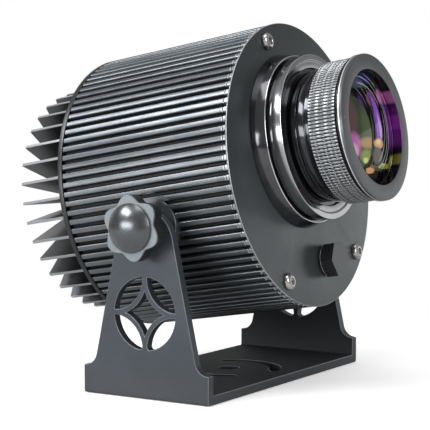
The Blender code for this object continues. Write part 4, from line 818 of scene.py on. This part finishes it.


# the front coating's reflections as soft patches, in mm: x and y of the middle, half width and
# height, bend, colour; the deep ones show inside one round area, the others anywhere
coatingDeep = [(-16, -1, 30, 30, 0.0, (0.02, 0.045, 0.012)), (-4, 1, 10, 12, 0.015, (0.055, 0.1, 0.012)),
               (-20, 6, 9, 14, 0.0, (0.11, 0.055, 0.06)), (-6, -8, 12, 4.0, 0.0, (0.46, 0.3, 0.09)),
               (-8, -15, 9, 4.5, 0.0, (0.24, 0.33, 0.02)), (-9, -17.5, 4, 2.2, 0.0, (0.7, 0.85, 0.25)),
               (-19.5, -9, 7.5, 8.5, 0.0, (0.6, 0.15, 0.5)), (-20, -12, 4.5, 5, 0.0, (0.85, 0.5, 0.68))]
coatingBlobs = [(10.5, 6, 4.6, 17, 0.022, (0.26, 0.05, 0.62)), (12.5, 0, 2.6, 10, 0.022, (0.62, 0.26, 0.85)),
                (7.5, -8.5, 8, 3.6, 0.0, (0.8, 0.42, 0.1)), (7.5, -7.5, 4, 1.6, 0.0, (0.95, 0.66, 0.3)),
                (5, -15, 8, 6, 0.0, (0.05, 0.028, 0.014)), (-5, -23, 6, 2.2, 0.0, (0.9, 0.34, 0.07)),
                (16, -21, 14, 1.8, -0.006, (0.3, 0.33, 0.04)), (12, -20, 4, 1.2, 0.0, (0.6, 0.62, 0.2)),
                (22, 18, 8, 5.5, 0.0, (0.6, 0.16, 0.46)), (27, 2, 6, 18, 0.01, (0.17, 0.03, 0.25)),
                (2, 28, 22, 4.2, 0.0, (0.03, 0.035, 0.17)), (18, 25, 6, 2.4, 0.0, (0.06, 0.08, 0.02)),
                (-6, 24, 9, 3.0, 0.0, (0.05, 0.05, 0.12))]
# painted highlights of the rings of the glasses behind: radius, half width, angle and its spread in degrees
coatingArcs = [(21.5, 0.55, 60, 40), (23.2, 0.5, -22, 46), (25.4, 0.45, 58, 44), (26.6, 0.55, -18, 56),
               (28.6, 0.45, 40, 40), (29.2, 0.6, -26, 44)]


def coating(s):
    # lays every reflection over black, and returns the colour and how much is covered
    x, y, along = s.axes()
    wobble = (s.noise(110.0, 2.0) - 0.5) * 1.2 * mm
    x, y = x + wobble, y - wobble
    black = (0.004, 0.003, 0.006)

    def blob(middle, height, halfX, halfY, bend, sharp=0.3):
        rise = y - height * mm
        across = (x - middle * mm + rise * rise * (bend / mm)) / (halfX * mm)
        rise = rise / (halfY * mm)
        return 1 - (across * across + rise * rise).step(sharp, 1.0)

    color = black
    for *form, tint in coatingDeep:
        color = s.mixed(blob(*form, 0.1), color, tint)
    cover = blob(-17, -2, 17.5, 20.5, 0.0, 0.88)
    color = s.mixed(cover, black, color)
    for *form, tint in coatingBlobs:
        weight = blob(*form)
        color = s.mixed(weight, color, tint)
        cover = cover.maths("MAXIMUM", weight)
    offX, offY = x + 4 * mm, y - 3 * mm
    square = offX * offX + offY * offY
    radius = square.maths("SQRT")
    angle = offY.maths("ARCTAN2", offX)
    for at, half, turn, spread in coatingArcs:
        out = (radius - at * mm) / (half * mm)
        away = (angle - math.radians(turn)) / math.radians(spread)
        weight = (1 - (out * out).step(0.1, 1.0)) * (1 - (away * away).step(0.3, 1.0)) * 0.8
        color = s.mixed(weight, color, (0.62, 0.66, 0.66))
        cover = cover.maths("MAXIMUM", weight)
    return color, cover


def innerCoating():
    # a near black sheet behind the front glass: painted shade for the dark inside of the lens
    s = Surface("innerCoating", (0.004, 0.004, 0.007), 0.16, 0.0, lensPlace, Specular_IOR_Level=0.3)
    haze = s.noise(60.0, 2.0)
    s.feed(Base_Color=s.mixed(haze, (0.004, 0.005, 0.006), (0.012, 0.014, 0.012)), Roughness=0.12 + 0.1 * haze)
    return s


def outerCoating():
    # clear front glass that is seen only where its coating reflects
    s = Surface("outerCoating", (0.01, 0.005, 0.02), 0.05, 0.0, lensPlace, Specular_IOR_Level=0.35)
    color, cover = coating(s)
    facing = s.node("ShaderNodeLayerWeight", {}, {"Blend": 0.3}, "Facing")
    s.feed(Base_Color=color, Alpha=0.1 + 0.1 * facing + 0.78 * cover)
    return s


barrelFinish = glossBarrel("glossBarrel", (0.05, 0.051, 0.056), (0.085, 0.086, 0.094), 0.11, 0.95)
flangeFinish = glossBarrel("glossFlange", (0.1, 0.101, 0.108), (0.15, 0.15, 0.158), 0.11, 0.95,
                           [(46.25, 61.1, 61.6)])
lockFinish = glossBarrel("brightLock", (0.38, 0.385, 0.4), (0.5, 0.505, 0.52), 0.15, 1.0,
                         [(45.35, 64.3, 64.65), (45.35, 69.9, 70.3)])
knurlFinish = knurl()
bezelFinish = bezelFaced()
wallFinish = polishedWall()
frontGlass = outerCoating()
darkSheetFinish = innerCoating()
middleGlass = coatedGlass("middleCoating", (0.03, 0.05, 0.012), 0.45, (0.12, 0.13, 0.02))
rearGlass = coatedGlass("rearCoating", (0.16, 0.03, 0.13), 0.55, (0.4, 0.1, 0.35))
condenserGlass = coatedGlass("clearCondenser", (0.6, 0.64, 0.66), 0.18, (0.7, 0.75, 0.78))


# turned rings: node, body, finish, slot, segments, rounding, then (along, radius, own rounding) round the section
lensRings = {
    "lens_flange": ("lens_mount", "head", flangeFinish, "lens_black", 200, 0.2, [
        (22, 32), (22, 36), (53.3, 36, 0), (53.3, 48.6), (61.5, 46.6, 0.5), (61.5, 43.4), (64.1, 43.4), (64.1, 38),
        (68.2, 38), (68.2, 32)]),
    "lens_lock": ("lens_lock_ring", "head", lockFinish, "lens_black", 200, 0.2, [
        (64.4, 38.3), (64.4, 45.6, 0.35), (70.2, 45.6, 0.35), (70.2, 42.6), (69.5, 41.8), (69.5, 38.3)]),
    "lens_tube": ("lens_barrel", "head", barrelFinish, "lens_black", 200, 0.2, [
        (34, 28.5), (34, 31.7), (68.5, 31.7), (68.5, 36), (73.7, 36), (73.7, 35.5), (74.3, 35.5), (74.3, 36.7),
        (78.6, 36.7), (78.6, 36.2), (79.2, 36.2), (79.2, 36.7), (90, 36.7), (90, 34.6), (74.2, 34.6), (74.2, 28.5),
        (61.6, 28.5), (61.6, 26.3), (42, 26.3), (42, 28.5)]),
    "focus_bezel_ring": ("focus_bezel", "focus_grip", bezelFinish, "plate_paint", 200, 0.25, [
        (93.5, 34.6), (93.5, 36.7), (98.8, 36.7), (98.8, 37.6), (99.5, 37.6), (99.5, bezel["outer"], 0.4),
        (bezel["front"], bezel["outer"], 0.35), (bezel["front"], bezel["hole"], 0.3), (98, bezel["hole"]),
        (98, 34.6)]),
    "lens_cell_steps": ("lens_cell", "lens_carriage", barrelFinish, "lens_black", 160, 0.25, [
        (77.8, 34.3), (97.7, 34.3), (97.7, 33.2), (91.1, 33.2), (91.1, 30.9), (87.5, 30.9), (87.5, 29.6),
        (83.9, 29.6), (83.9, 28.3), (80.3, 28.3), (80.3, 27), (77.8, 27)]),
    "front_glass_ring": ("front_lens_ring", "lens_carriage", wallFinish, "lens_black", 160, 0.12, [
        (95.2, 31.5), (95.2, 32.9), (97.4, 32.9), (97.4, 31.8), (96.9, 31.5), (96.4, 31.9), (95.9, 31.5)])}


def domed(base, radius, sag, steps=12):
    # profile of a spherical cap from its rim to the axis
    ball = (radius ** 2 + sag ** 2) / (2 * sag)
    spread = math.asin(radius / ball)
    rim = [(base + sag - ball + ball * math.cos(spread * i / steps), ball * math.sin(spread * i / steps))
           for i in range(steps, 0, -1)]
    return rim + [(base + sag, 0)]


def lensBody(back, backSag, frontSag, rim=3.0, radius=28.2, border=2.2):
    # a glass with a flat border, domed at the back, the front or neither
    front, rear = [(back + rim, 0)], [(back, 0)]
    if frontSag:
        front = domed(back + rim, radius - border, frontSag)
    if backSag:
        rear = [(2 * back - z, r) for z, r in reversed(domed(back, radius - border, backSag))]
    return turned(rear + [(back, radius), (back + rim, radius)] + front, 128)


def groove(turns):
    # a V groove one pitch apart: 1 at its bottom, 0 on the land
    gap = abs(turns - round(turns))
    return max(0.0, 1 - gap / grip["grooveHalf"])


def makeGrip():
    # one rib of the knurl with its two sets of slanting cuts, copied round the axis
    g = grip
    pitch = turnFull / g["ribs"]
    low, high = g["back"] + g["land"], g["front"] - g["land"]
    levels = [(low + (high - low) * i / g["levels"], 0.0) for i in range(g["levels"] + 1)]
    levels = [(g["back"], g["endDrop"]), *levels, (g["front"], g["endDrop"])]
    rows = []
    for z, ends in levels:
        row = []
        for a in [i / g["across"] - 0.5 for i in range(g["across"] + 1)]:
            twist = (z - low) / g["lead"]
            cross = g["crossDepth"] * max(groove(a + twist), groove(a - twist))
            x, y = polarPoint(g["radius"] - max(ends, max(groove(a), cross) * g["depth"]), a * pitch)
            row.append((x * mm, y * mm, z * mm))
        rows.append(row)
    inner = [polarPoint(g["bore"], side * pitch) for side in (-0.5, 0.5)]
    wall = [[(x * mm, y * mm, z * mm) for x, y in inner] for z in (g["back"], g["front"])]
    body = copiedSector("focus_grip_ribs", rows, wall, g["ribs"], knurlFinish)
    finished(body, lensPlace, knurlFinish, "focus_grip", ["focus_ring"])


def makeRings(*names):
    for name in names:
        node, body, finish, slot, segments, soft, profile = lensRings[name]
        sharp = 12 if finish is bezelFinish else 16  # the bezel's small steps stay crisp
        piece(name, turnedRing(profile, soft, segments), lensPlace, finish, body, [node], sharp)


def makeLens():
    d, g = dot, glass
    makeRings("lens_flange", "lens_lock", "lens_tube")
    makeGrip()
    makeRings("focus_bezel_ring")
    mark = cylinder(d["face"] - d["deep"], d["face"], d["radius"], 16, onCircle(d["circle"], d["angle"]))
    piece("focus_index_dot", mark, lensPlace, steelFinish, "focus_grip", [])
    makeRings("lens_cell_steps")
    front = [(g["back"], 0), (g["back"], g["flange"]), (g["shoulder"], g["flange"]), (g["shoulder"], g["step"]),
             (g["edge"], g["step"]), *domed(*g["dome"])]
    piece("front_glass", turned(front, 160), lensPlace, frontGlass, "lens_carriage", ["front_lens"])
    # painted shade: an opaque near black sheet for the dark inside of the lens
    darkSheet = turnedSolid(g["darkSheet"], 0.1, 160)
    piece("front_glass_group", darkSheet, lensPlace, darkSheetFinish, "lens_carriage", [])
    makeRings("front_glass_ring")
    for where, finish in (("middle", middleGlass), ("rear", rearGlass)):
        piece(f"{where}_glass", lensBody(*g[where]), lensPlace, finish, "head", [f"{where}_lens"])


makeLens()
report("lens done")


# the bent bracket: sheet, arms with their rounded heads and feet, windows, and the base's hole and slots
bracket = {"sheet": 5.0, "inner": 80.5, "half": 40.0, "lip": 15.5, "headRadius": 18.0, "headDrop": 9.0,
           "foot": 31.2, "footUp": 8.5, "fillet": 8.0, "pivotHole": 4.5, "window": 19.5, "windowDrop": 46.0,
           "strip": 2.8, "tip": 0.4, "lowTip": 1.8, "hole": 6.0, "slotCircle": 27.0, "slotHalf": 3.4,
           "slotSpan": 55.0, "slotTurn": -22.0, "outerBend": 1.4, "innerBend": 0.8, "edgeSoft": 0.35}


def powderCoat(name, color, pale, roughness, metallic=0.35, shade=0.8):
    # satin paint over sheet: orange peel, an uneven tone, paler low down, and painted shade on the arms' inner
    # faces and the base's top between them
    s = Surface(name, color, roughness, metallic)
    peel = s.noise(900.0, 3.0, 0.5)
    clouds = s.noise(14.0, 4.0, 0.6)
    x, y, z = s.axes()
    b = bracket
    low = 1 - z.step(0.0, 22 * mm)
    tone = (clouds * 0.8 + peel * 0.2).step(0.3, 0.7)
    base = s.mixed(low * 0.25, s.mixed(tone, color, pale), (0.13, 0.13, 0.13))
    # painted shade on the arms' inner faces and the base's top between them
    between = 1 - x.maths("ABSOLUTE").step((b["inner"] + 0.1) * mm, (b["inner"] + 0.4) * mm)
    off = (y - pivot.y).maths("ABSOLUTE")
    inside = between * (1 - off.step((b["half"] - 0.7) * mm, (b["half"] - 0.4) * mm))
    s.feed(Base_Color=s.mixed(inside * shade, base, (0.012, 0.015, 0.017)))
    s.feed(Roughness=roughness - 0.06 + 0.12 * s.noise(220.0, 3.0) + 0.2 * inside)
    return s.bump(peel, 0.14, 0.05 * mm)


bracketFinish = powderCoat("bracketPaint", (0.046, 0.055, 0.066), (0.07, 0.08, 0.094), 0.42)
# a lighter copy of the paint for the bevelled edges: a painted highlight
edgeHighlightFinish = powderCoat("bracketEdges", (0.2, 0.215, 0.23), (0.3, 0.315, 0.33), 0.36, 0.6, 0.0)


def armOutline(height):
    b = bracket
    half = b["half"]
    middle = Vector((0, height - b["headDrop"]))
    foot = Vector((b["foot"], b["lip"] + b["footUp"]))
    out = foot - middle
    lean = math.atan2(out.y, out.x) + math.acos(b["headRadius"] / out.length)
    along = (middle + Vector(polarPoint(b["headRadius"], lean)) - foot).normalized()
    normal = Vector((along.y, -along.x))
    rise = (b["lip"] + b["fillet"] - foot.y - normal.y * b["fillet"]) / along.y
    centre = foot + normal * b["fillet"] + along * rise
    end = math.atan2(-normal.y, -normal.x) % turnFull
    fillet = arc(centre, b["fillet"], 1.5 * math.pi, end, 14)
    head = arc(middle, b["headRadius"], lean, math.pi - lean, 40)
    left = [(-x, y) for x, y in reversed(fillet)]
    return [(-half, -1), (half, -1), (half, b["lip"])] + fillet + head + left + [(-half, b["lip"])]


def windowOutlines(height):
    # four lens-shaped windows inside a circle and the hollow diamond between them
    b = bracket
    centre = Vector((0, height - b["windowDrop"]))
    bend = b["window"] - b["strip"] / 2
    apart = b["window"] * math.sqrt(2)
    reach = b["window"] + b["strip"] / 2
    span = math.pi / 4 - math.acos(b["window"] / reach)
    outlines, star = [], []
    for k in range(4):
        out = math.pi / 4 + k * math.pi / 2
        corner = centre + Vector(polarPoint(apart, out))
        tips = []
        for sign, low in ((-1, k == 3), (1, k == 2)):
            small = b["lowTip"] if low else b["tip"]
            ahead = ((b["window"] - small) ** 2 - (bend - small) ** 2 + apart ** 2) / (2 * apart)
            aside = sign * math.sqrt((b["window"] - small) ** 2 - ahead ** 2)
            spot = centre + Vector(polarPoint(ahead, out)) + Vector(polarPoint(aside, out + math.pi / 2))
            back = spot - corner
            tips.append((spot, small, out + math.atan2(aside, ahead), math.atan2(back.y, back.x)))
        (first, firstSize, rimStart, bendEnd), (last, lastSize, rimEnd, bendStart) = tips
        bendStart = rimEnd + (bendStart - rimEnd) % turnFull
        bendEnd = bendStart + (bendEnd - bendStart) % turnFull
        close = bendEnd + (rimStart - bendEnd) % turnFull
        outlines.append(arc(centre, b["window"], rimStart, rimEnd, 24)
                        + arc(last, lastSize, rimEnd, bendStart, 6)[1:]
                        + arc(corner, bend, bendStart, bendEnd, 24)[1:]
                        + arc(first, firstSize, bendEnd, close, 6)[1:-1])
        star += arc(corner, reach, out + math.pi + span, out + math.pi - span, 18)[:-1]
    outlines.append(star)
    return outlines


def slotOutline(middle):
    b = bracket
    circleAt, half, span = b["slotCircle"], b["slotHalf"], math.radians(b["slotSpan"])
    low, high = middle - span, middle + span
    highEnd = arc(polarPoint(circleAt, high), half, high, high + math.pi, 12)
    lowEnd = arc(polarPoint(circleAt, low), half, low + math.pi, low + turnFull, 12)
    outside, inside = (arc((0, 0), circleAt + half, low, high, 28), arc((0, 0), circleAt - half, high, low, 28))
    return outside + highEnd[1:] + inside[1:] + lowEnd[1:-1]


def makeBracket():
    b = bracket
    height = pivot.z / mm
    outer, spare = b["inner"] + b["sheet"], 1
    top = height + 40  # above the arms' rounded heads
    quarter = math.pi / 2
    bend, curl = b["outerBend"], b["innerBend"]
    level = b["sheet"] + curl
    outside = arc((-outer + bend, bend), bend, 2 * quarter, 3 * quarter, 6)
    outside += arc((outer - bend, bend), bend, 3 * quarter, 4 * quarter, 6)
    inside = arc((b["inner"] - curl, level), curl, 0, -quarter, 4)
    inside += arc((-b["inner"] + curl, level), curl, -quarter, -2 * quarter, 4)
    section = [(-outer, top)] + outside + [(outer, top), (b["inner"], top)] + inside + [(-b["inner"], top)]
    upright = Matrix.Rotation(quarter, 4, "X")
    sheet = extruded(section, [], -b["half"] - spare, b["half"] + spare)
    body = looseObject("bent_bracket", moved(sheet, upright))
    holes = [circle(b["pivotHole"], 48, (0, height))] + windowOutlines(height)
    profile = extruded(armOutline(height), holes, -outer - spare, outer + spare)
    cut(body, moved(profile, Matrix.Rotation(quarter, 4, "Z") @ upright), "INTERSECT")
    turnBy = math.radians(b["slotTurn"])
    openings = (circle(b["hole"], 64), slotOutline(turnBy), slotOutline(turnBy + math.pi))
    cut(body, joinedMesh(*[extruded(outline, [], -spare, b["sheet"] + spare) for outline in openings]))
    body.data.materials.clear()
    for surface in (bracketFinish, edgeHighlightFinish):
        body.data.materials.append(surface.material)
    # the cut's spare edges go before the bevel, whose new faces take the lighter edge finish, a painted highlight
    flat = bmesh.new()
    flat.from_mesh(body.data)
    for face in flat.faces:
        face.material_index = 0
    bmesh.ops.remove_doubles(flat, verts=flat.verts, dist=0.002 * mm)
    bmesh.ops.dissolve_limit(flat, angle_limit=math.radians(0.5), verts=flat.verts, edges=flat.edges)
    flat.to_mesh(body.data)
    flat.free()
    edges = body.modifiers.new("edges", "BEVEL")
    edges.width, edges.segments, edges.limit_method = b["edgeSoft"] * mm, 2, "ANGLE"
    edges.angle_limit, edges.material, edges.use_clamp_overlap = bevelAngle, 1, True
    settled(body)
    finished(body, bracketPlace, None, "bracket", ["bracket"])


makeBracket()
report("bracket done")


# a clamp knob out along the tilt axis: two washers, star grip with its face plate, domed cap and stud
knob = {"star": 17.5, "dip": 3.3, "points": 6, "hub": 8.5, "bore": 4.3, "back": 87.6, "starBack": 90.6,
        "starFront": 98.1, "facePlate": 1.2, "faceInset": 0.02, "cap": 13.0, "capGap": 0.3, "capRim": 0.9,
        "capTop": 104.9, "stud": [(66.5, 0), (66.5, 3.5), (67, 4), (96.3, 4), (96.3, 0)],
        "steel": [(85.8, 4.3), (85.8, 8.8), (87.3, 8.8), (87.3, 4.3)],
        "rubber": [(78.2, 4.6), (78.2, 8.8), (80.2, 8.8), (80.2, 4.6)]}

knobFinish = plain("knobGrey", (0.2, 0.23, 0.255), (0.26, 0.29, 0.315), 0.42, 0.2, 80.0)
knobSideFinish = plain("knobBlack", (0.015, 0.015, 0.017), (0.03, 0.03, 0.033), 0.34, 0.0, 80.0)
capFinish = plain("polishedCap", (0.13, 0.138, 0.146), (0.17, 0.178, 0.186), 0.28, 1.0, 40.0, 500.0, 0.03)


def starOutline(radius, dip, count=144):
    points = []
    for i in range(count):
        angle = turnFull * i / count
        wave = (1 + math.cos(knob["points"] * (angle - math.pi / 2))) / 2
        points.append(polarPoint(radius - dip * (1 - wave ** 0.8), angle))
    return points


def makeKnob(name, place):
    k = knob
    body, washer = f"{name}_clamp", f"{name}_washer"
    faceBack = k["starFront"] - k["facePlate"]
    black = extruded(starOutline(k["star"], k["dip"]), [], k["starBack"], faceBack, 0.5)
    inStar = k["starBack"] + 0.6
    hub = [(k["back"], k["bore"]), (k["back"], k["hub"]), (inStar, k["hub"]), (inStar, k["bore"])]
    hub = turnedRing(hub, 0.4, 64)
    piece(f"{name}_knob_grip", joinedMesh(black, hub), place, knobSideFinish, body, [f"{name}_knob"])
    face = extruded(starOutline(k["star"] - k["faceInset"], k["dip"]), [], faceBack, k["starFront"], 0.3)
    piece(f"{name}_knob_face", face, place, knobFinish, body, [])
    base, rim = k["starFront"] + k["capGap"], k["starFront"] + k["capGap"] + k["capRim"]
    crown = [(base, 0), (base, k["cap"] - 0.3), (base + 0.3, k["cap"])]
    crown += domed(rim, k["cap"], k["capTop"] - rim, 20)
    piece(f"{name}_knob_dome", turned(crown, 96), place, capFinish, body, [f"{name}_knob_cap"], 30)
    piece(f"{name}_stud", turned(k["stud"], 48), place, steelFinish, body, [f"{name}_knob_stud"])
    steel, rubber = turnedRing(k["steel"], 0.3, 64), turnedRing(k["rubber"], 0.4, 64)
    piece(f"{name}_washer_steel", steel, place, steelFinish, washer, [f"{name}_clamp_washer"])
    piece(f"{name}_washer_rubber", rubber, place, rubberFinish, "head", [f"{name}_friction_washer"])


makeKnob("near", nearPlace)
makeKnob("far", farPlace)
report("knobs done")


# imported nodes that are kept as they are, and only get their finish
keptNodes = [
    (boardFinish, ["led_board"]), (emitterFinish, ["led_emitter"]), (rubberFinish, ["gland_seal"]),
    (condenserGlass, ["condenser_lens_rear", "condenser_lens_front", "gobo_glass"]),
    (barrelFinish, ["condenser_tube", "condenser_spacer", "condenser_ring", "middle_lens_ring", "rear_lens_ring"]),
    (aluminiumFinish, ["gobo_carrier", "gobo_motor"]), (brassFinish, ["gobo_bush", "motor_pinion"]),
    (steelFinish, ["gobo_ring", "motor_shaft"]),
    (blackFinish, ["led_driver", "gland_body", "gland_locknut", "gland_nut", "gobo_holder"])]
for finish, names in keptNodes:
    for name in names:
        nodes[name].data.materials.clear()
        nodes[name].data.materials.append(finish.material)
report("kept nodes finished")


# the floor: half its side and its drop in metres, and the squared distances over which it fades to white
floor = {"half": 6, "drop": 0.0003, "fade": (0.02, 0.08), "glow": 0.4}


def makeFloor():
    half, z = floor["half"], -floor["drop"]
    mesh = bpy.data.meshes.new("floor")
    mesh.from_pydata([(-half, -half, z), (half, -half, z), (half, half, z), (-half, half, z)], [], [(0, 1, 2, 3)])
    ground = bpy.data.objects.new("floor", mesh)
    scene.collection.objects.link(ground)
    s = Surface("paleFloor", (0.82, 0.82, 0.82), 0.9, Emission_Strength=floor["glow"], Specular_IOR_Level=0.0)
    seen = s.node("ShaderNodeLightPath", {}, {}, "Is Camera Ray")
    s.feed(Base_Color=s.mixed(seen, (0.6, 0.6, 0.6), (1.0, 1.0, 1.0)))
    s.feed(Emission_Color=s.mixed(seen, (0.0, 0.0, 0.0), (1.0, 1.0, 1.0)))
    x, y, z = s.axes()
    far = (x * x + y * y).step(*floor["fade"])
    glow = s.node("ShaderNodeEmission", {}, {"Color": (1, 1, 1, 1), "Strength": 1.0})
    lit = s.node("ShaderNodeMixShader", {}, {0: far * seen, 1: Field(s, s.shader.outputs[0]), 2: glow})
    s.tree.links.new(lit.socket, s.tree.nodes["Material Output"].inputs["Surface"])
    mesh.materials.append(s.material)


def makeWorld():
    # white to the camera and through glass, and a dim even light on the object
    world = bpy.data.worlds.new("studio")
    world.use_nodes = True
    tree = world.node_tree
    rays = addNode(tree, "ShaderNodeLightPath").outputs
    seen = addNode(tree, "ShaderNodeMath", {"operation": "MAXIMUM"},
                   {0: rays["Is Camera Ray"], 1: rays["Is Transmission Ray"]})
    strength = addNode(tree, "ShaderNodeMix", {}, {"Factor": seen.outputs[0], 2: 0.32, 3: 1.0})
    background = tree.nodes["Background"].inputs
    background["Color"].default_value = (1, 1, 1, 1)
    tree.links.new(strength.outputs[0], background["Strength"])
    scene.world = world


def direction(azimuth, elevation):
    # azimuth 0 is in front of the lens, negative towards the camera's side
    a, e = math.radians(azimuth), math.radians(elevation)
    return Vector((math.sin(a) * math.cos(e), -math.cos(a) * math.cos(e), math.sin(e)))


# softboxes: azimuth and elevation in degrees, distance, width and height in metres, power in watts
lamps = {"keyHigh": (-134, 41, 1.2, 0.7, 0.28, 7.5), "keyLow": (-110, 7, 1.2, 0.8, 0.3, 5.0),
         "topBox": (-60, 74, 1.2, 0.9, 0.6, 5.0), "frontBox": (-28, 22, 1.4, 0.5, 0.7, 5.0),
         "sideBox": (64, 2, 1.3, 0.7, 0.35, 0.6), "backBox": (152, 14, 1.4, 0.8, 0.5, 1.6)}
lampAim = Vector((0, 0, 0.1))


def makeLamp(name, azimuth, elevation, distance, width, height, power):
    light = bpy.data.lights.new(name, "AREA")
    light.shape, light.size, light.size_y, light.energy = "RECTANGLE", width, height, power
    lamp = bpy.data.objects.new(name, light)
    scene.collection.objects.link(lamp)
    lamp.location = lampAim + direction(azimuth, elevation) * distance
    lamp.rotation_euler = (lampAim - lamp.location).to_track_quat("-Z", "Y").to_euler()


# the camera: degrees and metres, with its focal length and frame width in pixels
view = {"azimuth": -58.0, "elevation": 3.25, "distance": 0.8, "target": (-0.0117, -0.0012, 0.0942),
        "focal": 1400.0, "frame": 430}


def makeCamera():
    v = view
    camera = bpy.data.cameras.new("camera")
    camera.sensor_width = 36
    camera.lens = camera.sensor_width * v["focal"] / v["frame"]
    camera.clip_start = 0.01
    holder = bpy.data.objects.new("camera", camera)
    scene.collection.objects.link(holder)
    back = direction(v["azimuth"], v["elevation"])
    right = Vector((math.cos(math.radians(v["azimuth"])), math.sin(math.radians(v["azimuth"])), 0))
    holder.matrix_world = placed(Vector(v["target"]) + back * v["distance"], right, back.cross(right), back)
    scene.camera = holder


makeFloor()
makeWorld()
for name, sizes in lamps.items():
    makeLamp(name, *sizes)
makeCamera()
scene.view_settings.view_transform = "Standard"
report("stage ready")
